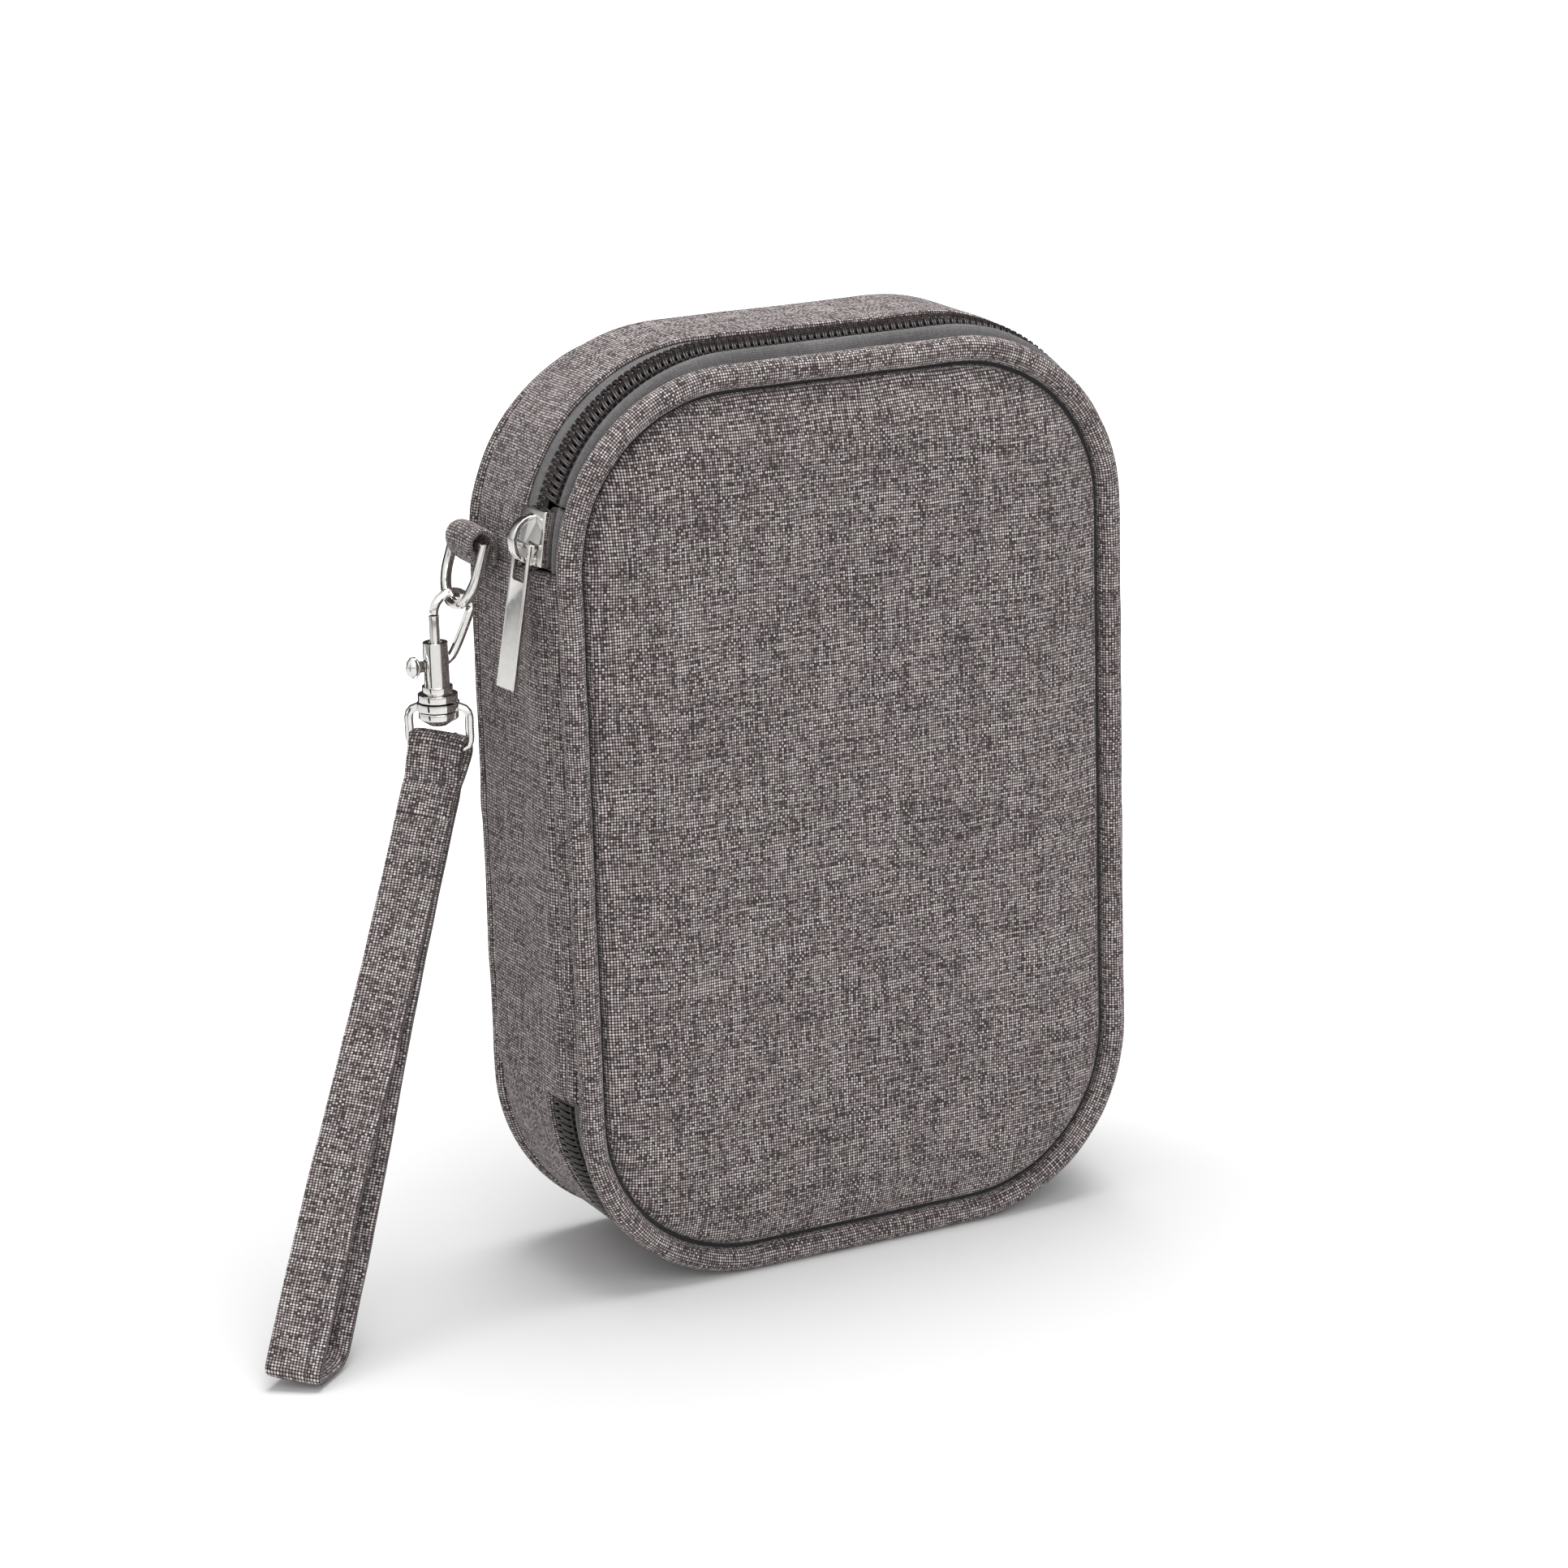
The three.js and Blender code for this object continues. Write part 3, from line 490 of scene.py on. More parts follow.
def bend(start, knee, end, count):
    """A quadratic bend, without its first point."""
    start, knee, end = Vector(start), Vector(knee), Vector(end)
    return bezier((start, start + (knee - start) * 2 / 3, end + (knee - end) * 2 / 3, end), count)


def line(start, end, count):
    """A straight run, without its first point."""
    start, end = Vector(start), Vector(end)
    return [start.lerp(end, (i + 1) / count) for i in range(count)]


def stitches(bm, frames, out, across, look, heavy=1.0):
    """A row of stitches along frames, on one side of a strip. Heavy thread makes thicker ones."""
    step = look.stitch + look.stitch_gap
    following = step / 2
    thick = heavy * look.thread / 2
    shape = Matrix.Translation((out, across, 0)) @ Matrix.Diagonal((thick, thick, look.stitch / 2, 1))
    for (place, here), (next_place, after) in zip(frames, frames[1:]):
        while place <= following < next_place:
            at = here.lerp(after, (following - place) / (next_place - place))
            bmesh.ops.create_icosphere(bm, subdivisions=1, radius=1, matrix=at @ shape)
            following += step


# Materials

SOCKETS = {
    "colour": "Base Color",
    "roughness": "Roughness",
    "specular": "Specular IOR Level",
    "metallic": "Metallic",
    "sheen": "Sheen Weight",
    "sheen_roughness": "Sheen Roughness",
    "coat": "Coat Weight",
    "coat_roughness": "Coat Roughness",
    "glow": "Emission Color",
}


def feed(tree, sockets, values):
    """Sets sockets to values or links them to other nodes."""
    for socket, value in zip(sockets, values):
        if isinstance(value, bpy.types.NodeSocket):
            tree.links.new(value, socket)
        else:
            socket.default_value = value


def calc(tree, operation, *values):
    """A math node."""
    node = tree.nodes.new("ShaderNodeMath")
    node.operation = operation
    feed(tree, node.inputs, values)
    return node.outputs[0]


def pair(tree, u, v):
    """Two values as a vector."""
    node = tree.nodes.new("ShaderNodeCombineXYZ")
    feed(tree, node.inputs, (u, v))
    return node.outputs[0]


def cloud(tree, place, scale, detail=2.0, dimensions="2D"):
    """Smooth noise."""
    node = tree.nodes.new("ShaderNodeTexNoise")
    node.noise_dimensions = dimensions
    tree.links.new(place, node.inputs["Vector"])
    node.inputs["Scale"].default_value = scale
    node.inputs["Detail"].default_value = detail
    return node.outputs["Fac"]


def between(tree, value, low, high, to_low, to_high):
    """A value carried from one range to another."""
    node = tree.nodes.new("ShaderNodeMapRange")
    feed(tree, node.inputs, (value, low, high, to_low, to_high))
    return node.outputs[0]


def blend_value(tree, share, first, second):
    """A mix of two values."""
    node = tree.nodes.new("ShaderNodeMix")
    feed(tree, (node.inputs[0], node.inputs[2], node.inputs[3]), (share, first, second))
    return node.outputs[0]


def blend_colour(tree, share, first, second, kind="MIX"):
    """A mix of two colours."""
    node = tree.nodes.new("ShaderNodeMix")
    node.data_type = "RGBA"
    node.blend_type = kind
    feed(tree, (node.inputs[0], node.inputs[6], node.inputs[7]), (share, first, second))
    return node.outputs[2]


def shade(colour):
    """A colour with full opacity."""
    return (*colour, 1.0)


def pair_grey(tree, value):
    """One value as a grey."""
    node = tree.nodes.new("ShaderNodeCombineColor")
    feed(tree, node.inputs, (value, value, value))
    return node.outputs[0]


def toned(tree, colour, tone):
    """A colour made lighter or darker by a tone."""
    return blend_colour(tree, 1.0, colour, pair_grey(tree, tone), "MULTIPLY")


def new_material(name, **surface):
    """A material with one main shader and plain values on it."""
    material = bpy.data.materials.new(name)
    material.use_nodes = True
    tree = material.node_tree
    tree.nodes.clear()
    shader = tree.nodes.new("ShaderNodeBsdfPrincipled")
    output = tree.nodes.new("ShaderNodeOutputMaterial")
    tree.links.new(shader.outputs[0], output.inputs[0])
    for word, value in surface.items():
        shader.inputs[SOCKETS[word]].default_value = value
    return material, tree, shader


def bump(tree, shader, height, distance, strength=1.0):
    """Relief of a surface."""
    node = tree.nodes.new("ShaderNodeBump")
    node.inputs["Distance"].default_value = distance
    node.inputs["Strength"].default_value = strength
    tree.links.new(height, node.inputs["Height"])
    tree.links.new(node.outputs[0], shader.inputs["Normal"])


def cloth_place(tree):
    """The cloth layout of a piece, as two values in metres."""
    layout = tree.nodes.new("ShaderNodeUVMap")
    layout.uv_map = CLOTH_LAYOUT
    split = tree.nodes.new("ShaderNodeSeparateXYZ")
    tree.links.new(layout.outputs[0], split.inputs[0])
    return split.outputs[0], split.outputs[1], layout.outputs[0]


def plain_weave(tree, pitch_along, pitch_across, wander):
    """A plain weave: its height, the yarn's tone, and the layout it follows."""
    along, across, place = cloth_place(tree)
    drift = cloud(tree, place, 90.0, 0.0)
    shift = calc(tree, "MULTIPLY_ADD", drift, wander, -wander / 2)
    u = calc(tree, "MULTIPLY_ADD", along, 1 / pitch_along, shift)
    v = calc(tree, "MULTIPLY_ADD", across, 1 / pitch_across, calc(tree, "MULTIPLY", shift, -0.8))
    column, row = calc(tree, "FLOOR", u), calc(tree, "FLOOR", v)
    over = calc(tree, "FLOORED_MODULO", calc(tree, "ADD", column, row), 2.0)
    bows = []
    for value in (u, v):
        side = calc(tree, "MULTIPLY_ADD", calc(tree, "FRACT", value), 2.0, -1.0)
        bows.append(calc(tree, "SUBTRACT", 1.0, calc(tree, "MULTIPLY", side, side)))
    threads = []
    for width, run in (bows, bows[::-1]):
        rise = calc(tree, "MULTIPLY_ADD", run, 0.6, 0.4)
        threads.append(calc(tree, "MULTIPLY", calc(tree, "SQRT", width), rise))
    height = blend_value(tree, over, *threads)
    warp_place = pair(tree, calc(tree, "MULTIPLY", column, 7.13), calc(tree, "MULTIPLY", v, 0.05))
    weft_place = pair(tree, calc(tree, "MULTIPLY", u, 0.05), calc(tree, "MULTIPLY", row, 5.71))
    upper = tree.nodes.new("ShaderNodeMix")
    upper.data_type = "VECTOR"
    feed(tree, (upper.inputs[0], upper.inputs[4], upper.inputs[5]), (over, warp_place, weft_place))
    yarn = cloud(tree, upper.outputs[1], 1.0, 1.0)
    speck = tree.nodes.new("ShaderNodeTexWhiteNoise")
    speck.noise_dimensions = "2D"
    tree.links.new(pair(tree, column, row), speck.inputs["Vector"])
    uneven = calc(tree, "MULTIPLY_ADD", speck.outputs["Value"], 0.36, -0.03)
    return height, calc(tree, "MULTIPLY_ADD", yarn, 0.7, uneven), place


def cloth_material(name, look):
    """Heather cloth: each thread has its own tone, with slubs, painted shade in the gaps between threads and
    a little sheen.
    """
    material, tree, shader = new_material(
        name, roughness=0.88, specular=0.22, sheen=0.12, sheen_roughness=0.45
    )
    height, tone, place = plain_weave(tree, look.pitch, look.pitch_across, 1.1)
    ramp = tree.nodes.new("ShaderNodeValToRGB")
    yarns = ramp.color_ramp.elements
    yarns.new(0.73)
    for yarn, position, colour in zip(yarns, (0.29, 0.48, 0.73), (look.dark, look.middle, look.light)):
        yarn.position = position
        yarn.color = shade(colour)
    tree.links.new(tone, ramp.inputs[0])
    patches = between(tree, cloud(tree, place, 70.0, 1.0), 0.3, 0.7, 0.95, 1.05)
    patchy = toned(tree, ramp.outputs[0], patches)
    # Painted shade: where the weave's height is low, the colour goes to the dark gap colour.
    yarn_over_gap_shade = between(tree, height, 0.46, 1.0, 0.0, 1.0)
    tree.links.new(blend_colour(tree, yarn_over_gap_shade, shade(look.gap), patchy), shader.inputs["Base Color"])
    bump(tree, shader, height, look.relief, 0.75)
    return material


def woven_material(name, colour, pitch_along, pitch_across, relief, roughness=0.8):
    """A plain one-colour weave, as on zip tape, lining and elastic, with painted shade in the gaps between
    threads.
    """
    material, tree, shader = new_material(name, roughness=roughness, specular=0.3, sheen=0.08)
    height, tone, place = plain_weave(tree, pitch_along, pitch_across, 0.5)
    worn = between(tree, cloud(tree, place, 60.0, 2.0), 0.3, 0.7, 0.88, 1.12)
    light = calc(tree, "MULTIPLY", between(tree, tone, 0.3, 0.7, 0.85, 1.15), worn)
    # Random tone and wear, times painted shade: the colour darkens to less than half in the low gaps between
    # threads.
    tone_and_gap_shade = calc(tree, "MULTIPLY", light, between(tree, height, 0.1, 0.8, 0.45, 1.0))
    tree.links.new(toned(tree, shade(colour), tone_and_gap_shade), shader.inputs["Base Color"])
    bump(tree, shader, height, relief, 0.7)
    return material


def object_place(tree):
    """Object coordinates."""
    return tree.nodes.new("ShaderNodeTexCoord").outputs["Object"]


def nickel_material(name, look, roughness=None):
    """Polished nickel plate with faint polishing marks and dull spots."""
    material, tree, shader = new_material(name, metallic=1.0)
    place = object_place(tree)
    dull = cloud(tree, place, 900.0, 4.0, "3D")
    stretch = tree.nodes.new("ShaderNodeMapping")
    stretch.inputs["Scale"].default_value = (1.0, 1.0, 0.06)
    tree.links.new(place, stretch.inputs[0])
    marks = cloud(tree, stretch.outputs[0], 6000.0, 2.0, "3D")
    base = roughness or look.roughness
    tree.links.new(between(tree, dull, 0.35, 0.75, base * 0.7, base * 1.7), shader.inputs["Roughness"])
    worn = between(tree, dull, 0.3, 0.7, 0.93, 1.03)
    tree.links.new(toned(tree, shade(look.colour), worn), shader.inputs["Base Color"])
    bump(tree, shader, marks, 0.004 * MM, 0.25)
    return material


def nylon_material(name, colour):
    """Glossy nylon filament, a little uneven."""
    material, tree, shader = new_material(name, coat=0.25, coat_roughness=0.2)
    uneven = cloud(tree, object_place(tree), 500.0, 2.0, "3D")
    tone = between(tree, uneven, 0.3, 0.7, 0.6, 1.5)
    tree.links.new(toned(tree, shade(colour), tone), shader.inputs["Base Color"])
    tree.links.new(between(tree, uneven, 0.3, 0.7, 0.24, 0.42), shader.inputs["Roughness"])
    bump(tree, shader, uneven, 0.03 * MM, 0.4)
    return material


def foam_material(name, colour):
    """Closed-cell foam with fine pores."""
    material, tree, shader = new_material(name, roughness=0.92)
    cells = tree.nodes.new("ShaderNodeTexVoronoi")
    cells.inputs["Scale"].default_value = 1600.0
    tree.links.new(object_place(tree), cells.inputs["Vector"])
    tone = between(tree, cells.outputs["Distance"], 0.0, 0.6, 0.6, 1.3)
    tree.links.new(toned(tree, shade(colour), tone), shader.inputs["Base Color"])
    bump(tree, shader, cells.outputs["Distance"], 0.12 * MM, 0.6)
    return material


def thread_material(name, colour):
    """Twisted sewing thread."""
    material, tree, shader = new_material(name, roughness=0.7)
    twist = tree.nodes.new("ShaderNodeTexWave")
    twist.bands_direction = "DIAGONAL"
    twist.inputs["Scale"].default_value = 1500.0
    twist.inputs["Distortion"].default_value = 1.5
    tree.links.new(object_place(tree), twist.inputs["Vector"])
    tone = between(tree, twist.outputs["Fac"], 0.0, 1.0, 0.65, 1.2)
    tree.links.new(toned(tree, shade(colour), tone), shader.inputs["Base Color"])
    bump(tree, shader, twist.outputs["Fac"], 0.05 * MM, 0.5)
    return material


def finish_of(name, maker, *values, **named):
    """A material that several pieces share."""
    return bpy.data.materials.get(name) or maker(name, *values, **named)


def heather(scene):
    """The cloth of the case."""
    return finish_of("heather_cloth", cloth_material, scene.meter_cloth)


def lining_finish():
    """The lining's smooth dark weave."""
    dark = (0.055, 0.055, 0.06)
    return finish_of("lining_weave", woven_material, dark, 0.3 * MM, 0.3 * MM, 0.05 * MM, 0.72)


def thread_finish():
    """Grey sewing thread."""
    return finish_of("grey_thread", thread_material, (0.075, 0.08, 0.077))


def nickel(scene):
    """The plating of the fittings."""
    return finish_of("polished_nickel", nickel_material, scene.meter_metal)


# Padded panels

GATHER_SIZE = 4.5 * MM
GATHER_INSET = 3 * MM
GATHER_WIDTH = 4 * MM
HELD_EDGE = 1.2 * MM
SWELL_FRAMES = 20


def pad_height(shape, total, inset):
    """Thickness of a pad at a distance from its seam: a rounded rim and a broad crown."""
    rim = min(1.0, inset / shape.lip_run)
    run = min(1.0, inset / shape.pad_run)
    crown = total - shape.pad_edge - shape.lip
    return shape.pad_edge + shape.lip * math.sqrt(1 - (1 - rim) ** 2) + crown * math.sqrt(1 - (1 - run) ** 2)


def pad_sheet(bm, edges, back, facing, total, shape, columns=44, rows=62):
    """A sheet over a rounded rectangle, raised by the pad's height and gathered along its seam."""
    bmesh.ops.create_grid(bm, x_segments=columns, y_segments=rows, size=1)
    half_x, half_z = (edges.right - edges.left) / 2, (edges.top - edges.bottom) / 2
    middle_x, middle_z = (edges.right + edges.left) / 2, (edges.top + edges.bottom) / 2
    for vert in bm.verts:
        x = half_x * math.sin(QUARTER * vert.co.x)
        past = max(0.0, abs(x) - half_x + edges.radius)
        reach = half_z - edges.radius + math.sqrt(max(0.0, edges.radius**2 - past**2))
        z = reach * math.sin(QUARTER * vert.co.y)
        inset = max(0.0, edges.inset(x + middle_x, z + middle_z))
        gather = noise.noise(Vector((x, 0, z)) / GATHER_SIZE) * dip(inset, GATHER_INSET, GATHER_WIDTH)
        height = pad_height(shape, total, inset) + shape.pucker * gather
        vert.co = (x + middle_x, back + facing * height, z + middle_z)


def swell(made, held, cap):
    """Puffs a closed pad with a cloth simulation, holding its edge and back, and keeps the result."""
    group = made.vertex_groups.new(name="held")
    group.add(held, 1.0, "REPLACE")
    start = [vert.co.copy() for vert in made.data.vertices]
    cloth = made.modifiers.new("Swell", "CLOTH")
    cloth.settings.quality = 4
    cloth.settings.mass = 0.004
    cloth.settings.tension_stiffness = 4
    cloth.settings.compression_stiffness = 4
    cloth.settings.bending_stiffness = 0.02
    cloth.settings.vertex_group_mass = "held"
    cloth.settings.use_pressure = True
    cloth.settings.uniform_pressure_force = 4
    cloth.settings.shrink_min = -0.006
    cloth.settings.effector_weights.gravity = 0
    cloth.collision_settings.use_collision = False
    cloth.point_cache.frame_start = 1
    cloth.point_cache.frame_end = SWELL_FRAMES
    scene = bpy.context.scene
    for step in range(1, SWELL_FRAMES + 1):
        scene.frame_set(step)
    shaped = made.evaluated_get(bpy.context.evaluated_depsgraph_get()).data
    moves = [vert.co - rest for vert, rest in zip(shaped.vertices, start)]
    made.modifiers.remove(cloth)
    for vert, move, rest in zip(made.data.vertices, moves, start):
        vert.co = rest + (move * min(1.0, cap / move.length) if move.length > 0 else move)
    made.vertex_groups.remove(group)
    scene.frame_set(1)


def pad(context, name, facing):
    """One padded panel: a crowned face, drawn in to its seam, with a flat back."""
    shape = context.scene.meter_case
    low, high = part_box(name)
    back, front = (high.y, low.y) if facing < 0 else (low.y, high.y)
    case = edges_of("front_piping" if facing < 0 else "rear_piping", shape.corner_radius)
    edges = edges_of(name, shape.corner_radius - (low.x - case.left)).grown(-shape.groove)
    bm = bmesh.new()
    pad_sheet(bm, edges, back, facing, abs(front - back), shape)
    fresh = set(second_side(bm))
    for vert in fresh:
        vert.co.y = back
    face_out(bm)
    lay_flat(bm, 0, 2)
    bm.verts.index_update()
    held = [v.index for v in bm.verts if v in fresh or edges.inset(v.co.x, v.co.z) < HELD_EDGE]
    body = "lid" if facing < 0 else "base"
    made = piece(name.replace("panel", "pad"), bm, heather(context.scene), body, [name])
    swell(made, held, shape.puff)
    smooth_out(made)


class PadPanels(bpy.types.Operator):
    """Pads the front and the rear panel"""

    bl_idname = "meter_case.panels"
    bl_label = "Pad the panels"

    def execute(self, context):
        """Makes both panels."""
        pad(context, "front_panel", -1)
        pad(context, "rear_panel", 1)
        return {"FINISHED"}


# Piping


class RollPiping(bpy.types.Operator):
    """Rolls the cloth piping of the front and the rear edge"""

    bl_idname = "meter_case.piping"
    bl_label = "Roll the piping"

    LAP_AT_FRONT = 0.955
    LAP_AT_REAR = 0.1
    LAP_RISE = 0.22 * MM
    LAP_LENGTH = 9 * MM
    FLAT_WIDTH = 8 * MM
    FLAT_THICK = 0.2 * MM
    FLAT_BEHIND = 0.15 * MM

    def execute(self, context):
        """Makes both rolls."""
        shape = context.scene.meter_case
        case = edges_of("front_piping", shape.corner_radius)
        self.roll(context, "front_piping", case, "lid", self.LAP_AT_FRONT)
        low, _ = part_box("rear_piping")
        rear = edges_of("rear_piping", shape.corner_radius + case.left - low.x)
        self.roll(context, "rear_piping", rear, "base", self.LAP_AT_REAR)
        return {"FINISHED"}

    def roll(self, context, node, edges, body, lap_share):
        """One roll: a round section that thickens a little where its ends lap."""
        low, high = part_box(node)
        radius = (high.y - low.y) / 2
        centre = edges.grown(-radius)
        around = centre.around()
        bm = new_bmesh()
        points = circle_points(radius, 18, across=(low.y + high.y) / 2)
        sweep(bm, points, centre.frames(0, around, step=2.5 * MM, turn_steps=26), closed_path=True)
        along = bm.verts.layers.float["along"]
        bm.normal_update()
        for vert in bm.verts:
            past = vert[along] - lap_share * around
            if 0 <= past < self.LAP_LENGTH:
                vert.co += vert.normal * self.LAP_RISE * (1 - past / self.LAP_LENGTH)
        lay_cloth(bm, around, 2 * math.pi * radius)
        close_up(bm)
        rumple(bm, 0.16 * MM, 7 * MM, 3.1)
        piece(node + "_roll", bm, heather(context.scene), body, [node], smooth=True)
        self.allowance(node, centre, body)

    def allowance(self, node, centre, body):
        """The roll's flat edge, which is sewn in behind the panel. The flat is a real part, and its dark
        lining weave is painted shade: it shows as a dark line in the groove between panel and piping.
        """
        low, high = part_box("front_panel" if body == "lid" else "rear_panel")
        behind = high.y + self.FLAT_BEHIND if body == "lid" else low.y - self.FLAT_BEHIND
        half = self.FLAT_THICK / 2
        corners = ((0.0, half), (0.0, -half), (-self.FLAT_WIDTH, -half), (-self.FLAT_WIDTH, half))
        around = centre.around()
        bm = new_bmesh()
        frames = centre.frames(0, around, step=8 * MM, turn_steps=14)
        sweep(bm, [(out, behind + y) for out, y in corners], frames, closed_path=True)
        lay_cloth(bm, around)
        close_up(bm)
        # Painted shade: the dark lining weave on the flat shows as a dark line in the groove.
        piece(node + "_flat", bm, lining_finish(), body, [], flat_angle=FLAT_ANGLE)


# Side band


def crown_drop(shape, depth, y):
    """How far the band falls away from its full crown at a place along Y."""
    run, fall = (shape.rear_roll, shape.rear_drop) if y > 0 else (shape.crown_run, shape.band_crown)
    past = max(0.0, abs(y) - depth / 2 + run) / run
    swelled = shape.rear_swell * min(1.0, max(0.0, y / (depth / 2)))
    return fall * (1 - math.sqrt(max(0.0, 1 - min(1.0, past) ** 2))) - swelled


def band_face(context, front_y, rear_y, sink, count):
    """Points of the band's face at a depth under its crown, from front to rear."""
    shape = context.scene.meter_case
    low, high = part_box("spine_panel")
    depth = high.y - low.y
    places = [front_y + (rear_y - front_y) * i / count for i in range(count + 1)]
    return [(-sink - crown_drop(shape, depth, y), y) for y in places]


def band_edges(context):
    """The side band's outline at its full crown."""
    return edges_of("gusset", context.scene.meter_case.band_radius)


class WrapSides(bpy.types.Operator):
    """Wraps the gusset round the rear half and sews in the spine"""

    bl_idname = "meter_case.sides"
    bl_label = "Wrap the sides"

    END_LAP = 1.2 * MM
    CREEP_START = 40 * MM
    CREEP_RUN = 70 * MM
    CREEP_DEPTH = 10 * MM
    SEAM_BACK = 4.4 * MM
    SEAM_WIDTH = 0.75 * MM
    FOLD_WIDTH = 4 * MM
    FOLD_SWAY = 2.5 * MM
    END_ROUND = 1.6 * MM
    END_DROP = 0.9 * MM
    SPINE_LIFT = 0.6 * MM
    SPINE_THINNER = 3.2 * MM
    LINING_THICK = 1 * MM

    def execute(self, context):
        """Makes the gusset, the spine and the inside lining of the band."""
        self.gusset(context)
        self.spine(context)
        self.lining(context)
        return {"FINISHED"}

    def gusset(self, context):
        """The cloth band, with a turned hem beside the zip."""
        shape = context.scene.meter_case
        low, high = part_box("gusset")
        spine_low, spine_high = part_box("spine_panel")
        edges = band_edges(context)
        around = edges.around()
        hem_y = low.y + shape.hem_back + shape.hem / 2
        rear_y = high.y + shape.seam_lap
        face = band_face(context, hem_y, rear_y, 0.0, 12)
        inner = band_face(context, hem_y, rear_y, shape.hem, 12)
        half = shape.hem / 2
        fold = []
        for i in range(1, 6):
            turn = math.pi * i / 6
            fold.append((face[0][0] - half + half * math.cos(turn), hem_y - half * math.sin(turn)))
        points = face[::-1] + fold + inner
        bm = new_bmesh()
        start = edges.at_left(spine_high.z - self.END_LAP)
        stop = edges.at_left(spine_low.z + self.END_LAP) + around
        sweep(bm, points, edges.frames(start, stop, step=3 * MM, turn_steps=24))
        lay_cloth(bm)
        self.creep(bm, shape, edges, start, hem_y, spine_high.y - spine_low.y)
        close_up(bm)
        rumple(bm, shape.rumple * 0.6, 22 * MM, 1.7)
        piece("gusset_band", bm, heather(context.scene), "base", ["gusset"], smooth=True)

    def creep(self, bm, shape, edges, start, hem_y, depth):
        """Brings the hem up to the coil, away from the slider."""
        along = bm.verts.layers.float["along"]
        for vert in bm.verts:
            gone = clamp((vert[along] - start - self.CREEP_START) / self.CREEP_RUN)
            near = clamp((hem_y - vert.co.y) / self.CREEP_DEPTH + 1)
            push = shape.hem_creep * gone * gone * (3 - 2 * gone) * near
            fall = crown_drop(shape, depth, vert.co.y - push) - crown_drop(shape, depth, vert.co.y)
            out = edges.frame_at(vert[along]).col[0].xyz
            vert.co += Vector((0, -push, 0)) - out * fall

    def spine(self, context):
        """The cloth on the left side: turned hems, a seam line by the front edge and soft folds."""
        shape = context.scene.meter_case
        low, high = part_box("spine_panel")
        depth = high.y - low.y
        low.z -= shape.tongue
        bm = bmesh.new()
        bmesh.ops.create_grid(bm, x_segments=62, y_segments=72, size=1)
        half_y, half_z = depth / 2, (high.z - low.z) / 2
        middle_y, middle_z = (low.y + high.y) / 2, (low.z + high.z) / 2
        for vert in bm.verts:
            y = middle_y + half_y * vert.co.x
            z = middle_z + half_z * vert.co.y
            from_end = 1 - abs(vert.co.y)
            x = low.x + crown_drop(shape, depth, y) - self.SPINE_LIFT
            x += shape.crease * dip(y, low.y + self.SEAM_BACK, self.SEAM_WIDTH)
            fold_y = middle_y + self.FOLD_SWAY * math.sin(z * 30)
            x += shape.dent * (0.6 + 0.4 * vert.co.y) * dip(y, fold_y, self.FOLD_WIDTH)
            diagonal = Vector((y * 55 + z * 38, z * 16 - y * 20, 4.2))
            x -= shape.rumple * (0.5 + 1.4 * math.exp(-5 * from_end)) * noise.noise(diagonal)
            edge = min(1.0, from_end * half_z / self.END_ROUND)
            x += self.END_DROP * (1 - math.sqrt(max(0.0, 1 - (1 - edge) ** 2)))
            vert.co = (x, y, z)
        thick = high.x - low.x - self.SPINE_THINNER
        bmesh.ops.translate(bm, vec=(thick, 0, 0), verts=second_side(bm))
        face_out(bm)
        lay_flat(bm, 1, 2)
        piece("spine_cloth", bm, heather(context.scene), "base", ["spine_panel"], smooth=True)

    def lining(self, context):
        """The lining inside the band."""
        low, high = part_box("gusset_lining")
        outer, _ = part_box("gusset")
        edges = band_edges(context)
        around = edges.around()
        sink = low.x - outer.x
        face = band_face(context, low.y, high.y, sink, 8)
        inner = band_face(context, low.y, high.y, sink + self.LINING_THICK, 8)
        bm = new_bmesh()
        frames = edges.frames(0, around, step=5 * MM, turn_steps=16)
        sweep(bm, face[::-1] + inner, frames, closed_path=True)
        lay_cloth(bm, around)
        close_up(bm)
        rumple(bm, 0.12 * MM, 18 * MM, 5.3)
        piece("gusset_inside", bm, lining_finish(), "base", ["gusset_lining"])


# Zip


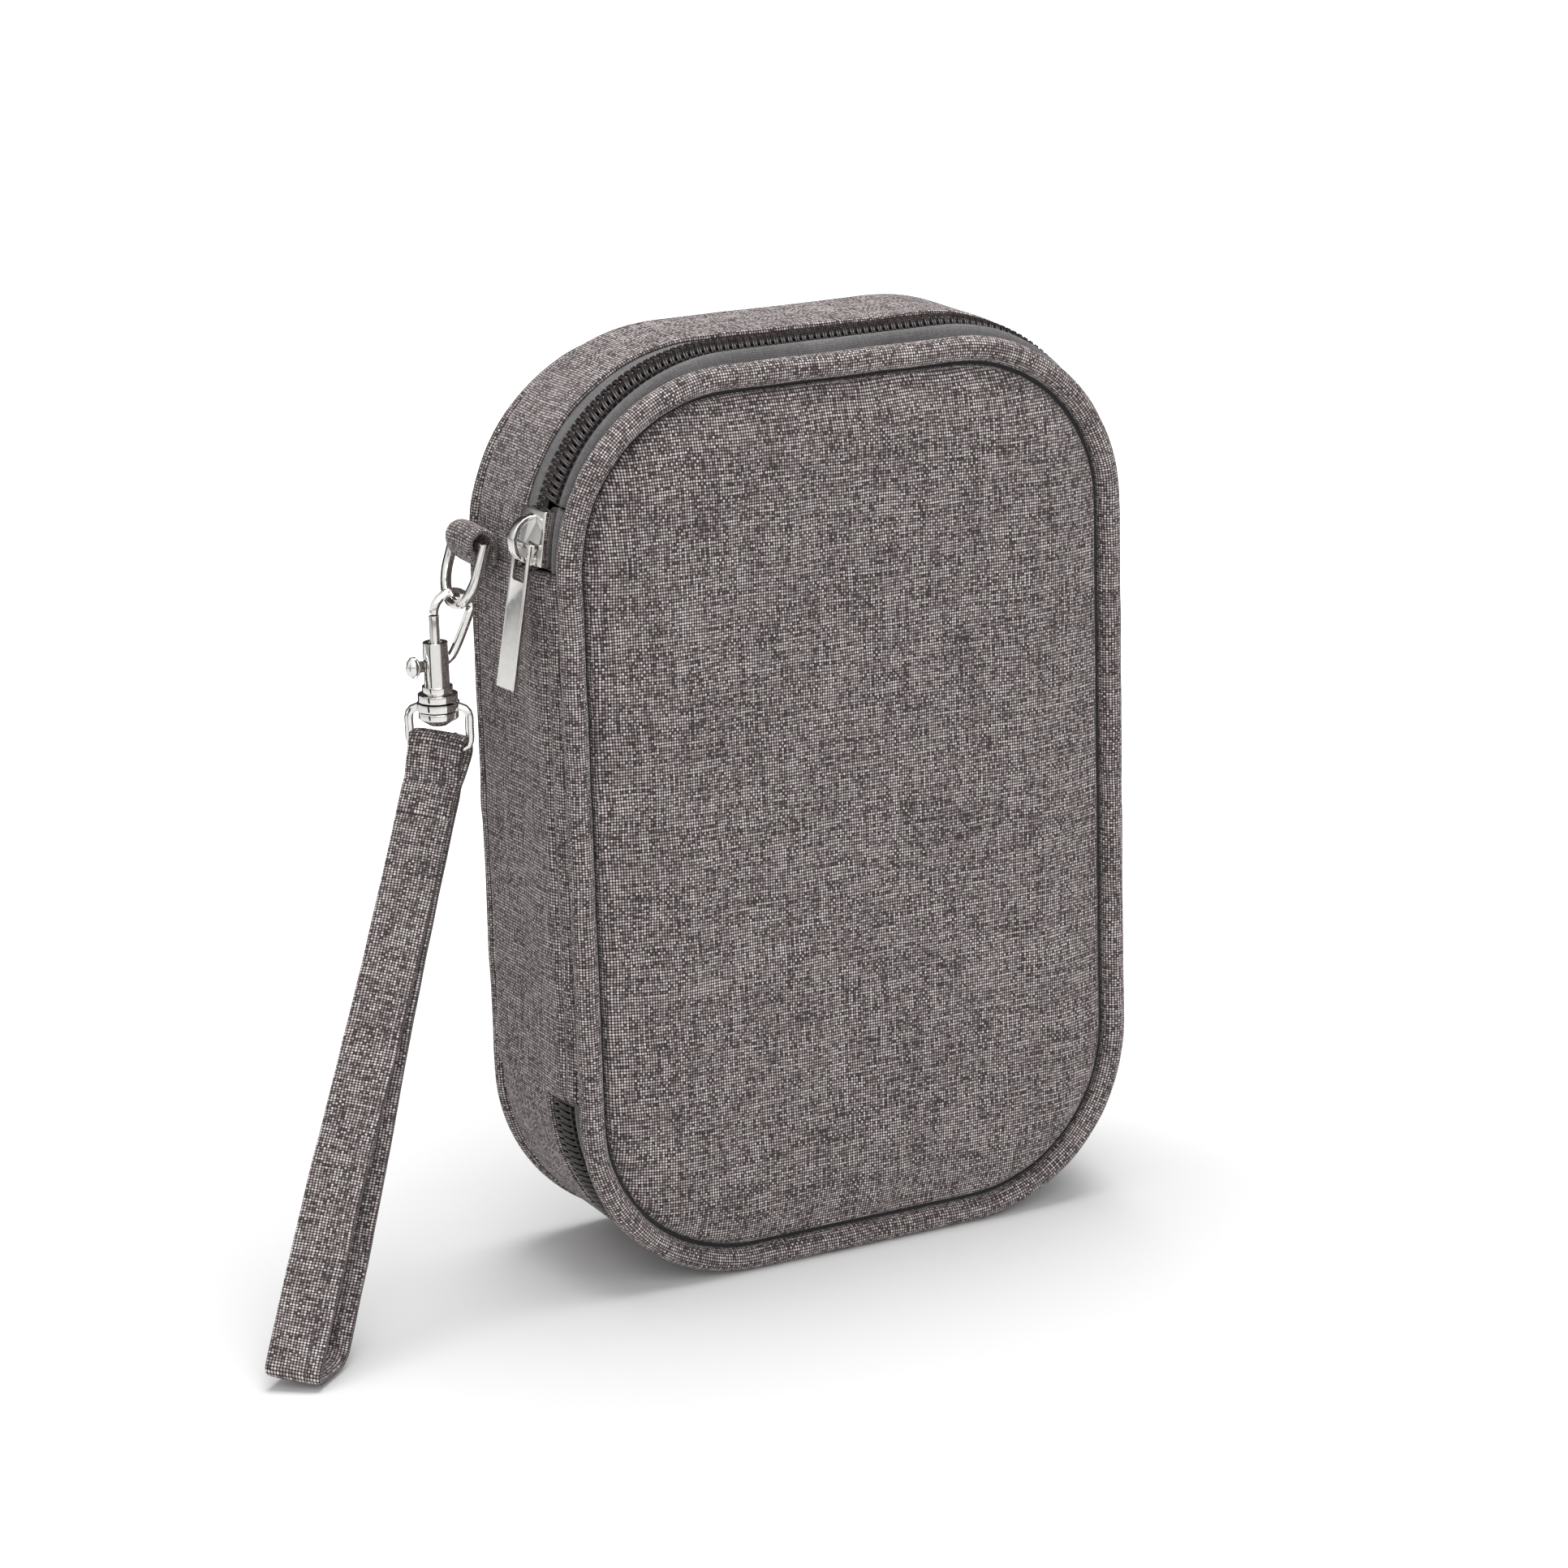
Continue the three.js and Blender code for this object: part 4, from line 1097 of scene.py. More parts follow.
class SewZip(bpy.types.Operator):
    """Sews in the zip's tapes and coils"""

    bl_idname = "meter_case.zip"
    bl_label = "Sew in the zip"

    END_GAP = 0.3 * MM
    LID_GAP = 0.04 * MM
    REAR_SINK = 1.05 * MM
    FRONT_SINK = 1.6 * MM
    UNDER_HEM = 2.4 * MM
    TAPE_THICK = 0.9 * MM
    OVERLAP = 1.05 * MM
    HEEL_SINK = 0.1 * MM
    HEAD_RISE = 0.1 * MM

    def execute(self, context):
        """Makes both tapes, both coils and the short ends beside the spine."""
        look = context.scene.meter_zip
        self.tape_finish = finish_of(
            "zip_tape_weave", woven_material, look.tape, 0.42 * MM, 0.5 * MM, 0.07 * MM
        )
        self.coil_finish = finish_of("zip_nylon", nylon_material, look.coil)
        edges = band_edges(context)
        around = edges.around()
        spine_low, spine_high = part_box("spine_panel")
        top = edges.at_left(spine_high.z + self.END_GAP)
        foot = edges.at_left(spine_low.z - self.END_GAP) + around
        _, end_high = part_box("front_tape_end")
        end = edges.at_left(end_high.z)
        lid_start = edges.at_left(end_high.z + self.LID_GAP)
        runs = (
            ("rear_zip_tape", "rear_zip_coil", "base", top, foot, 0.0),
            ("front_zip_tape", "front_zip_coil", "lid", lid_start, foot, 0.5),
            ("front_tape_end", "front_coil_end", "base", top, end, 0.5),
        )
        for tape, _, body, start, stop, _ in runs:
            self.tape(context, tape, body, start, stop)
        for _, coil, body, start, stop, phase in runs:
            self.coil(context, coil, body, start, stop, phase)
        return {"FINISHED"}

    def tape(self, context, node, body, start, stop):
        """A woven tape. The front one rolls up beside the piping, and the rear one lies flat."""
        look = context.scene.meter_zip
        low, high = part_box(node)
        if node.startswith("rear"):
            face = band_face(context, low.y, high.y + self.UNDER_HEM, self.REAR_SINK, 8)
        else:
            face = []
            for out, y in band_face(context, low.y, high.y, self.FRONT_SINK, 20):
                share = clamp((y - low.y) / look.bead_width)
                face.append((out + look.bead_rise * math.sin(math.pi * share) ** 0.6, y))
        back = [(out - self.TAPE_THICK, y) for out, y in reversed(face)]
        edges = band_edges(context)
        bm = new_bmesh()
        sweep(bm, face + back, edges.frames(start, stop, step=4 * MM, turn_steps=22))
        lay_cloth(bm)
        close_up(bm)
        piece(node + "_cloth", bm, self.tape_finish, body, [node], smooth=True)

    def coil(self, context, node, body, start, stop, phase):
        """A nylon coil: one bent loop of filament for each turn, meeting the other coil at the middle."""
        look = context.scene.meter_zip
        shape = context.scene.meter_case
        low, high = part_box(node)
        spine_low, spine_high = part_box("spine_panel")
        facing = 1 if node.startswith("rear") else -1
        heel, head = (high.y, low.y) if facing > 0 else (low.y, high.y)
        head -= facing * self.OVERLAP
        radius = look.filament / 2
        depth = spine_high.y - spine_low.y
        top_heel = -crown_drop(shape, depth, heel) - radius - self.HEEL_SINK
        top_head = -crown_drop(shape, depth, head) - radius + self.HEAD_RISE
        lean = (0.12 if facing > 0 else 0.5) * look.pitch
        legs = look.pitch * 0.33
        leg = [
            (top_heel - 1.0 * MM, heel - facing * radius * 1.4, 0.0),
            (top_heel - 0.25 * MM, heel - facing * radius, 0.0),
            (top_heel + 0.1 * MM, heel - facing * 0.8 * MM, 0.08 * lean),
            (top_head + 0.12 * MM, head + facing * 0.7 * MM, lean),
        ]
        tip = (top_head - 0.12 * MM, head + facing * radius, lean + legs / 2)
        loop = leg + [tip] + [(out, y, along + legs) for out, y, along in reversed(leg)]
        bm = new_bmesh()
        edges = band_edges(context)
        count = int((stop - start) / look.pitch)
        self.filament(bm, loop, radius)
        pattern = list(bm.verts) + list(bm.edges) + list(bm.faces)
        for i in range(count):
            at = edges.frame_at(start + (i + phase) * look.pitch)
            copied = bmesh.ops.duplicate(bm, geom=pattern)["geom"]
            bmesh.ops.transform(bm, matrix=at, verts=verts_in(copied))
        bmesh.ops.delete(bm, geom=verts_in(pattern))
        face_out(bm)
        piece(node + "_turns", bm, self.coil_finish, body, [node])

    @staticmethod
    def filament(bm, loop, radius):
        """A short bent filament through (out, across, along) points."""
        points = [Vector(place) for place in loop]
        frames = []
        last = points[1] - points[0]
        turn = last.to_track_quat("Z", "Y")
        for i, here in enumerate(points):
            ahead = points[min(len(points) - 1, i + 1)] - points[max(0, i - 1)]
            turn = last.rotation_difference(ahead) @ turn
            last = ahead
            frames.append((0.0, Matrix.Translation(here) @ turn.to_matrix().to_4x4()))
        sweep(bm, circle_points(radius, 5), frames)


# Metal fittings


FACET_ANGLE = math.radians(0.8)
SHARP_ANGLE = math.radians(32)
SHADE_ANGLE = math.radians(38)


def cast_copy(node, edge):
    """A CAD solid with its facets merged and its sharp edges rounded."""
    bm = bmesh.new()
    bm.from_mesh(frame["nodes"][node].data)
    bmesh.ops.remove_doubles(bm, verts=bm.verts, dist=WELD)
    bmesh.ops.dissolve_limit(
        bm, angle_limit=FACET_ANGLE, use_dissolve_boundaries=False, verts=bm.verts, edges=bm.edges
    )
    if edge > 0:
        round_off(bm, [e for e in bm.edges if e.is_manifold and e.calc_face_angle(0.0) > SHARP_ANGLE], edge)
    face_out(bm)
    return bm


def cast(context, name, node, body, edge):
    """One polished fitting."""
    piece(name, cast_copy(node, edge), nickel(context.scene), body, [node], flat_angle=SHADE_ANGLE)


class FitSlider(bpy.types.Operator):
    """Fits the zip slider and its pull"""

    bl_idname = "meter_case.slider"
    bl_label = "Fit the slider"

    def execute(self, context):
        """Makes both castings."""
        edge = context.scene.meter_metal.edge
        cast(context, "slider_casting", "zip_slider", "zip_slider", edge)
        cast(context, "pull_casting", "zip_pull", "zip_pull", edge * 1.3)
        return {"FINISHED"}


class HangSnap(bpy.types.Operator):
    """Hangs the D-ring, the snap hook and the strap eye"""

    bl_idname = "meter_case.snap"
    bl_label = "Hang the snap hook"

    def execute(self, context):
        """Makes the metal fittings of the strap."""
        edge = context.scene.meter_metal.edge
        fittings = (
            ("ring_wire", "d_ring", "d_ring", 0.0),
            ("hook_casting", "snap_hook", "snap_hook", edge),
            ("gate_pin", "gate_bolt", "gate_bolt", edge),
            ("stud_cap", "swivel_stud", "snap_hook", edge),
            ("eye_wire", "strap_eye", "strap_eye", edge),
        )
        for fitting in fittings:
            cast(context, *fitting)
        self.spring(context)
        return {"FINISHED"}

    def spring(self, context):
        """The gate spring: a wire wound from the bore's floor up to the bolt."""
        look = context.scene.meter_metal
        low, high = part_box("gate_spring")
        radius = (high.x - low.x) / 2 - look.spring_wire / 2
        rise = high.z - low.z - look.spring_wire
        bm = bmesh.new()
        start = Matrix.Translation((radius, 0, 0)) @ Matrix.Rotation(QUARTER, 4, "X")
        bmesh.ops.create_circle(bm, cap_ends=False, segments=8, radius=look.spring_wire / 2, matrix=start)
        steps = 16 * look.spring_turns
        bmesh.ops.spin(
            bm, geom=list(bm.verts) + list(bm.edges), cent=(0, 0, 0), axis=(0, 0, 1),
            dvec=(0, 0, rise / steps), angle=2 * math.pi * look.spring_turns, steps=steps
        )
        bmesh.ops.holes_fill(bm, edges=[e for e in bm.edges if e.is_boundary])
        middle = Vector(((low.x + high.x) / 2, (low.y + high.y) / 2, low.z + look.spring_wire / 2))
        bmesh.ops.translate(bm, vec=middle, verts=bm.verts)
        face_out(bm)
        wire = finish_of("spring_wire", nickel_material, look, roughness=0.3)
        made = piece("spring_winding", bm, wire, "snap_hook", ["gate_spring"])
        middle.z = low.z
        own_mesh(made)


# Tab and strap


class SewStrap(bpy.types.Operator):
    """Sews the side tab and the wrist strap"""

    bl_idname = "meter_case.strap"
    bl_label = "Sew the strap"

    TAB_FOOT = 5.2 * MM
    SEAM_INSET = 3 * MM
    NECK_BELOW = 0.8 * MM
    NECK_PINCH = 0.3
    NECK_WIDTH = 1.1 * MM
    NECK_THREAD = 2.5

    def execute(self, context):
        """Makes the tab and the strap with their stitches."""
        self.tab(context)
        self.strap(context)
        return {"FINISHED"}

    def tab(self, context):
        """A strip folded over the D-ring's bar, with both ends in the seam."""
        look = context.scene.meter_strap
        low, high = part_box("side_tab")
        radius = (high.z - low.z) - self.TAB_FOOT
        top = high.z - radius
        middle_x = high.x - radius
        reach = radius - look.tab_ply / 2
        near = Vector((middle_x + reach, low.z))
        points = [near, *line(near, (middle_x + reach, top), 4)]
        for i in range(1, 15):
            turn = math.pi * i / 14
            points.append(Vector((middle_x + reach * math.cos(turn), top + reach * math.sin(turn))))
        outer = middle_x - reach
        points += bend((outer, top), (outer, top - radius), (high.x - 1.5 * look.tab_ply, low.z), 8)
        bm = new_bmesh()
        move = Matrix.Translation((0, (low.y + high.y) / 2, 0))
        frames = [(run, move @ at) for run, at in path_frames(points)]
        sweep(bm, strip_points(high.y - low.y, look.tab_ply), frames)
        lay_cloth(bm)
        close_up(bm)
        rumple(bm, 0.14 * MM, 6 * MM, 8.8)
        piece("tab_cloth", bm, heather(context.scene), "base", ["side_tab"], smooth=True)

    def path(self, look, slope):
        """The strap's middle line, from the side: down the front run, round the foot and up to the bar."""
        sewn_top = -2 * (look.bar_room + look.ply)
        sewn_foot = sewn_top - look.sewn
        near = look.ply / 2
        half = look.gap / 2 + near
        foot = near * math.hypot(1, slope) - look.strap_length
        front, rear = foot - half * slope, foot + half * slope
        swell_at = (sewn_foot + front) / 2
        knee = look.bend - near
        fold = look.bar_room + near
        start = Vector((-near, sewn_foot))
        points = [start, *bezier((start, (-near, swell_at), (-half, swell_at), (-half, front + knee)), 40)]
        points += bend((-half, front + knee), (-half, front), (knee - half, front + knee * slope), 6)
        points += line((knee - half, front + knee * slope), (half - knee, rear - knee * slope), 4)
        points += bend((half - knee, rear - knee * slope), (half, rear), (half, rear + knee), 6)
        points += bezier(((half, rear + knee), (half, swell_at), (near, swell_at), (near, sewn_foot)), 40)
        points += line((near, sewn_foot), (near, sewn_top), 8)
        points += line((near, sewn_top), (fold, 0), 4)
        for i in range(1, 13):
            turn = math.pi * i / 12
            points.append(Vector((fold * math.cos(turn), fold * math.sin(turn))))
        points += line((-fold, 0), (-near, sewn_top), 4)
        points += line((-near, sewn_top), (-near, sewn_foot), 8)[:-1]
        return points

    def strap(self, context):
        """The folded loop, leaning out with its foot on the floor, and its rows of stitches."""
        look = context.scene.meter_strap
        swing = joint_of("strap_swing")
        bar = Vector(swing["pos_m"])
        eye_x = -Vector(swing["axis"]).normalized()
        eye_y = Vector((0, 0, 1)).cross(eye_x)
        rise = min(1.0, (bar.z - look.stand) / look.strap_length)
        reach = math.sqrt(1 - rise**2)
        turn = look.lean_turn
        along = Vector((reach * math.cos(turn), reach * math.sin(turn), rise))
        across = (eye_x - along * eye_x.dot(along)).normalized()
        through = along.cross(across) + across * look.skew
        slope = -through.z / along.z
        place = Matrix.Translation(bar) @ Matrix((through, -across, along)).transposed().to_4x4()
        frames = path_frames(self.path(look, slope), closed=True)
        bm = new_bmesh()
        sweep(bm, strip_points(look.width, look.ply, spans=10), frames, closed_path=True)
        lay_cloth(bm, frames[-1][0])
        close_up(bm)
        for vert in bm.verts:
            vert.co.x *= 1 - self.NECK_PINCH * dip(vert.co.z, self.neck(look), self.NECK_WIDTH)
        bmesh.ops.transform(bm, matrix=place, verts=bm.verts)
        face_out(bm)
        rumple(bm, 0.16 * MM, 9 * MM, 6.1)
        body = "wrist_strap"
        piece("strap_cloth", bm, heather(context.scene), body, ["wrist_strap"], smooth=True)
        self.stitch_strap(context, frames, place)

    def neck(self, look):
        """Height of the row of stitches that closes the fold round the eye."""
        return -2 * (look.bar_room + look.ply) - self.NECK_BELOW

    def stitch_strap(self, context, frames, place):
        """A row along the loop's edge, and one across the sewn neck."""
        look = context.scene.meter_strap
        bm = bmesh.new()
        out = look.ply / 2 - 0.05 * MM
        seam = self.SEAM_INSET - look.width / 2
        for side in (1, -1):
            stitches(bm, frames, side * out, seam, look)
        reach = look.width - 2 * MM
        turn = Matrix.Rotation(QUARTER, 4, "X")
        for side in (1, -1):
            face = Vector((0.8 * side * look.ply, reach / 2, self.neck(look)))
            ends = [Matrix.Translation(face * Vector((1, half, 1))) @ turn for half in (1, -1)]
            stitches(bm, [(0.0, ends[0]), (reach, ends[1])], 0.0, 0.0, look, self.NECK_THREAD)
        bmesh.ops.transform(bm, matrix=place, verts=bm.verts)
        face_out(bm)
        piece("strap_stitches", bm, thread_finish(), "wrist_strap", [])


# Inside

RIM_ANGLE = math.radians(60)


def slab(node, name, material, body, soft, case_radius):
    """A flat board or lining with soft edges."""
    low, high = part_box(node)
    edges = edges_of(node, case_radius)
    frames = edges.frames(0, edges.around(), step=40 * MM, turn_steps=12)
    bm = bmesh.new()
    verts = [bm.verts.new(at @ Vector((0, low.y, 0))) for _, at in frames[:-1]]
    bm.faces.new(verts)
    bmesh.ops.translate(bm, vec=(0, high.y - low.y, 0), verts=second_side(bm))
    face_out(bm)
    round_off(bm, [e for e in bm.edges if e.calc_face_angle(0.0) > RIM_ANGLE], soft)
    lay_flat(bm, 0, 2)
    return piece(name, bm, material, body, [node], flat_angle=FLAT_ANGLE)


class LineInside(bpy.types.Operator):
    """Lines the inside and sews in its loops and pocket"""

    bl_idname = "meter_case.inside"
    bl_label = "Line the inside"

    BOARD_INSET = 5.7 * MM
    POCKET_INSET = 6 * MM
    LOOPS = 4
    LOOP_THICK = 1.2 * MM
    LOOP_FOOT = 4 * MM
    ROW_APART = 0.7 * MM
    ROW_END = 1 * MM
    NET_CELL = 3.2 * MM
    NET_THREAD = 0.55 * MM
    NET_CLEAR = 0.8 * MM

    def execute(self, context):
        """Makes the boards, the linings, the elastic loops and the mesh pocket."""
        shape = context.scene.meter_case
        foam = finish_of("board_foam", foam_material, (0.03, 0.03, 0.032))
        radius = shape.corner_radius - self.BOARD_INSET
        for node, body in (("lid_board", "lid"), ("rear_board", "base")):
            slab(node, node + "_foam", foam, body, 0.5 * MM, radius)
        for node, body in (("lid_lining", "lid"), ("rear_lining", "base")):
            slab(node, node + "_cloth", lining_finish(), body, 0.4 * MM, radius)
        self.elastic = finish_of(
            "ribbed_elastic", woven_material, (0.03, 0.03, 0.032), 0.9 * MM, 0.6 * MM, 0.16 * MM, 0.8
        )
        self.loops(context)
        self.pocket(context)
        return {"FINISHED"}

    def loops(self, context):
        """A band of elastic sewn down between arches, with a bar of stitches on each foot."""
        low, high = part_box("elastic_loops")
        count, thick, foot = self.LOOPS, self.LOOP_THICK, self.LOOP_FOOT
        pitch = (high.x - low.x - foot) / count
        base = high.y - thick / 2
        points = [Vector((low.x, base)), Vector((low.x + foot, base))]
        wide, tall = (pitch - foot) / 2 + thick / 2, high.y - low.y - thick / 2
        for i in range(count):
            middle = low.x + foot + (pitch - foot) / 2 + i * pitch
            for j in range(1, 24):
                turn = math.pi * (1 - j / 24)
                y = min(base, high.y - tall * math.sin(turn))
                points.append(Vector((middle + wide * math.cos(turn), y)))
            start = low.x + foot + (i + 1) * pitch - foot
            points += [Vector((start, base)), Vector((start + foot, base))]
        move = Matrix.Translation((0, 0, (low.z + high.z) / 2))
        frames = [(run, move @ at) for run, at in path_frames(points, axis=2)]
        bm = new_bmesh()
        sweep(bm, strip_points(high.z - low.z, thick, spans=14, soft=0.2), frames)
        lay_cloth(bm)
        close_up(bm)
        piece("elastic_band", bm, self.elastic, "base", ["elastic_loops"], smooth=True)
        bm = bmesh.new()
        bottom, top = low.z + self.ROW_END, high.z - self.ROW_END
        for i in range(count + 1):
            for shift in (-self.ROW_APART, self.ROW_APART):
                x = low.x + foot / 2 + i * pitch + shift
                ends = [Matrix.Translation((x, base - thick / 2, z)) for z in (bottom, top)]
                stitches(bm, [(0.0, ends[0]), (top - bottom, ends[1])], 0.0, 0.0, context.scene.meter_strap)
        face_out(bm)
        piece("elastic_stitches", bm, thread_finish(), "base", [])

    def pocket(self, context):
        """A knitted mesh pocket with a bound top and a taped edge."""
        shape = context.scene.meter_case
        low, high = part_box("mesh_pocket")
        radius = shape.corner_radius - self.BOARD_INSET - self.POCKET_INSET
        edges = Edges(low.x, high.x, low.z, high.z + 2 * radius, radius)
        across = int((high.x - low.x) / self.NET_CELL * 1.5)
        bm = bmesh.new()
        bmesh.ops.create_grid(bm, x_segments=across, y_segments=across, size=across * self.NET_CELL / 2)
        bmesh.ops.rotate(bm, matrix=Matrix.Rotation(QUARTER / 2, 3, "Z"), verts=bm.verts)
        stand = Matrix.Translation(((low.x + high.x) / 2, (low.y + high.y) / 2, (low.z + high.z) / 2))
        bmesh.ops.transform(bm, matrix=stand @ Matrix.Rotation(QUARTER, 4, "X"), verts=bm.verts)
        outside = []
        for face in bm.faces:
            at = face.calc_center_median()
            if at.z > high.z or edges.inset(at.x, at.z) < self.NET_CLEAR:
                outside.append(face)
        bmesh.ops.delete(bm, geom=outside, context="FACES")
        bmesh.ops.wireframe(
            bm, faces=bm.faces, thickness=self.NET_THREAD, use_boundary=True, use_even_offset=True,
            use_replace=True
        )
        face_out(bm)
        lay_flat(bm, 0, 2)
        knit = finish_of("knitted_mesh", woven_material, (0.04, 0.04, 0.042), 0.3 * MM, 0.3 * MM, 0.05 * MM)
        piece("pocket_net", bm, knit, "lid", ["mesh_pocket"])
        self.pocket_edge(edges, low, high)
        self.binding(context)

    def pocket_edge(self, edges, low, high):
        """The woven tape that holds the pocket's sides and foot."""
        bm = new_bmesh()
        inner = edges.grown(-1.5 * MM)
        around = inner.around()
        right_top = around - (inner.starts()[3][1] + 2 * QUARTER * inner.radius)
        right_top -= high.z - inner.bottom - inner.radius
        left_top = around + high.z - inner.bottom - inner.radius
        frames = inner.frames(right_top, left_top, step=5 * MM, turn_steps=16)
        points = [(side, (low.y + high.y) / 2 + out) for out, side in strip_points(3.4 * MM, 1.1 * MM)]
        sweep(bm, points, frames)
        lay_cloth(bm)
        close_up(bm)
        piece("pocket_tape", bm, self.elastic, "lid", [])

    def binding(self, context):
        """The elastic binding on the pocket's top edge, with a row of stitches."""
        low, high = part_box("pocket_binding")
        bm = new_bmesh()
        points = [Vector((low.x + (high.x - low.x) * i / 30, (low.y + high.y) / 2)) for i in range(31)]
        move = Matrix.Translation((0, 0, (low.z + high.z) / 2))
        frames = [(run, move @ at) for run, at in path_frames(points, axis=2)]
        sweep(bm, strip_points(high.z - low.z, high.y - low.y, soft=0.3), frames)
        lay_cloth(bm)
        close_up(bm)
        piece("binding_elastic", bm, self.elastic, "lid", ["pocket_binding"], smooth=True)
        bm = bmesh.new()
        stitches(bm, frames, (high.y - low.y) / 2, -1.6 * MM, context.scene.meter_strap)
        face_out(bm)
        piece("binding_stitches", bm, thread_finish(), "lid", [])


# Stage


class SetStage(bpy.types.Operator):
    """Sets the floor, the lights and the camera"""

    bl_idname = "meter_case.stage"
    bl_label = "Set the stage"

    CAMERA_PLACE = Vector((-434.939, -855.241, 376.437)) * MM
    CAMERA_RIGHT = Vector((0.88969, -0.45570, -0.02801))
    CAMERA_UP = Vector((0.14997, 0.23375, 0.96066))
    FLOOR_REACH = 12.0
    FLOOR_MIDDLE = (-0.11, -0.22, 0.0)
    BEHIND = (0.45, 0.89, 0.0)
    LAMP_AIM = Vector((0, 0, 0.1))
    CARD_AIM = Vector((-0.07, 0, 0.14))

    def execute(self, context):
        """Makes the floor, the world, the lamps and the camera."""
        scene = context.scene
        scene.view_settings.view_transform = "Standard"
        look = scene.meter_stage
        self.floor(look)
        self.world(scene, look)
        self.lamp("key_softbox", (-0.4, -1.5, 1.2), 1.5, look.key)
        self.lamp("top_softbox", (0.15, 0.1, 1.9), 1.2, look.top)
        self.flag("dark_card_right", (0.085, -0.25, 0.09), (0.045, 0.16))
        self.flag("dark_card_left", (-0.38, -0.06, 0.09), (0.03, 0.16))
        self.flag("dark_card_behind", (-0.06, 0.4, 0.12), (0.18, 0.25))
        self.camera(scene, look)
        return {"FINISHED"}

    def floor(self, look):
        """A plain pale floor that keeps the soft shadow and runs to white."""
        material, tree, shader = new_material(
            "pale_floor", colour=shade(look.floor), roughness=0.9, specular=0.1, glow=(1, 1, 1, 1)
        )
        away = tree.nodes.new("ShaderNodeVectorMath")
        away.operation = "DISTANCE"
        away.inputs[1].default_value = self.FLOOR_MIDDLE
        tree.links.new(object_place(tree), away.inputs[0])
        far = between(tree, away.outputs["Value"], 0.28, 0.85, look.near_lift, look.lift)
        path = tree.nodes.new("ShaderNodeLightPath")
        clear = calc(tree, "MAXIMUM", path.outputs["Is Camera Ray"], path.outputs["Is Transmission Ray"])
        tree.links.new(calc(tree, "MULTIPLY", clear, far), shader.inputs["Emission Strength"])
        bm = bmesh.new()
        bmesh.ops.create_grid(bm, x_segments=2, y_segments=2, size=self.FLOOR_REACH)
        link_mesh("floor", bm, material)

    def world(self, scene, look):
        """White where it is seen, an even fill for cloth, and dark behind the case in polished metal."""
        world = bpy.data.worlds.new("studio")
        world.use_nodes = True
        tree = world.node_tree
        background = tree.nodes["Background"]
        background.inputs["Color"].default_value = (1, 1, 1, 1)
        path = tree.nodes.new("ShaderNodeLightPath")
        ahead = tree.nodes.new("ShaderNodeVectorMath")
        ahead.operation = "DOT_PRODUCT"
        ahead.inputs[1].default_value = self.BEHIND
        tree.links.new(tree.nodes.new("ShaderNodeTexCoord").outputs["Generated"], ahead.inputs[0])
        mirrored = between(tree, ahead.outputs["Value"], 0.0, 0.6, 1.0, 0.05)
        lit = blend_value(tree, path.outputs["Is Glossy Ray"], look.fill, mirrored)
        clear = calc(tree, "MAXIMUM", path.outputs["Is Camera Ray"], path.outputs["Is Transmission Ray"])
        tree.links.new(blend_value(tree, clear, lit, 1.0), background.inputs["Strength"])
        scene.world = world

    def lamp(self, name, place, size, power):
        """A softbox aimed at the middle of the case."""
        data = bpy.data.lights.new(name, "AREA")
        data.shape = "SQUARE"
        data.size = size
        data.energy = power
        made = bpy.data.objects.new(name, data)
        made.location = place
        aim = self.LAMP_AIM - made.location
        made.rotation_euler = aim.to_track_quat("-Z", "Y").to_euler()
        bpy.context.scene.collection.objects.link(made)

    def flag(self, name, place, size):
        """A dark card that only polished metal sees."""
        material, _, _ = new_material(name + "_black", colour=(0.01, 0.01, 0.011, 1), roughness=0.9)
        bm = bmesh.new()
        aim = (self.CARD_AIM - Vector(place)).to_track_quat("Z", "Y").to_matrix().to_4x4()
        spread = Matrix.Translation(place) @ aim @ Matrix.Diagonal((*size, 1, 1))
        bmesh.ops.create_grid(bm, x_segments=1, y_segments=1, size=1, matrix=spread)
        card = link_mesh(name, bm, material)
        card.visible_camera = False
        card.visible_diffuse = False
        card.visible_shadow = False
        card.visible_transmission = False

    def camera(self, scene, look):
        """The photograph's point of view."""
        data = bpy.data.cameras.new("camera")
        data.lens = look.lens
        data.sensor_width = 36.0
        data.clip_start = 0.01
        camera = bpy.data.objects.new("camera", data)
        back = self.CAMERA_RIGHT.cross(self.CAMERA_UP)
        turn = Matrix((self.CAMERA_RIGHT, self.CAMERA_UP, back)).transposed().to_4x4()
        camera.matrix_world = Matrix.Translation(self.CAMERA_PLACE) @ turn
        scene.collection.objects.link(camera)
        scene.camera = camera


class CasePanel(bpy.types.Panel):
    """Lists the steps that dress the case"""

    bl_idname = "VIEW3D_PT_meter_case"
    bl_label = "Meter Case"
    bl_space_type = "VIEW_3D"
    bl_region_type = "UI"
    bl_category = "Meter Case"

    def draw(self, context):
        """Draws one button for each step and the sizes under them."""
        for step in STEPS:
            self.layout.operator(step.bl_idname)
        for group, _ in GROUPS:
            look = getattr(context.scene, group)
            box = self.layout.box()
            for name in look.__annotations__:
                box.prop(look, name)


GROUPS = (
    ("meter_cloth", ClothLook),
    ("meter_case", CaseShape),
    ("meter_zip", ZipLook),
    ("meter_metal", MetalLook),
    ("meter_strap", StrapShape),
    ("meter_stage", StageLook),
)
STEPS = (SetStage, PadPanels, RollPiping, WrapSides, SewZip, FitSlider, HangSnap, SewStrap, LineInside)


def register():
    """Registers the settings, the steps and the panel."""
    for name, group in GROUPS:
        bpy.utils.register_class(group)
        setattr(bpy.types.Scene, name, PointerProperty(type=group))
    for step in STEPS:
        bpy.utils.register_class(step)
    bpy.utils.register_class(CasePanel)


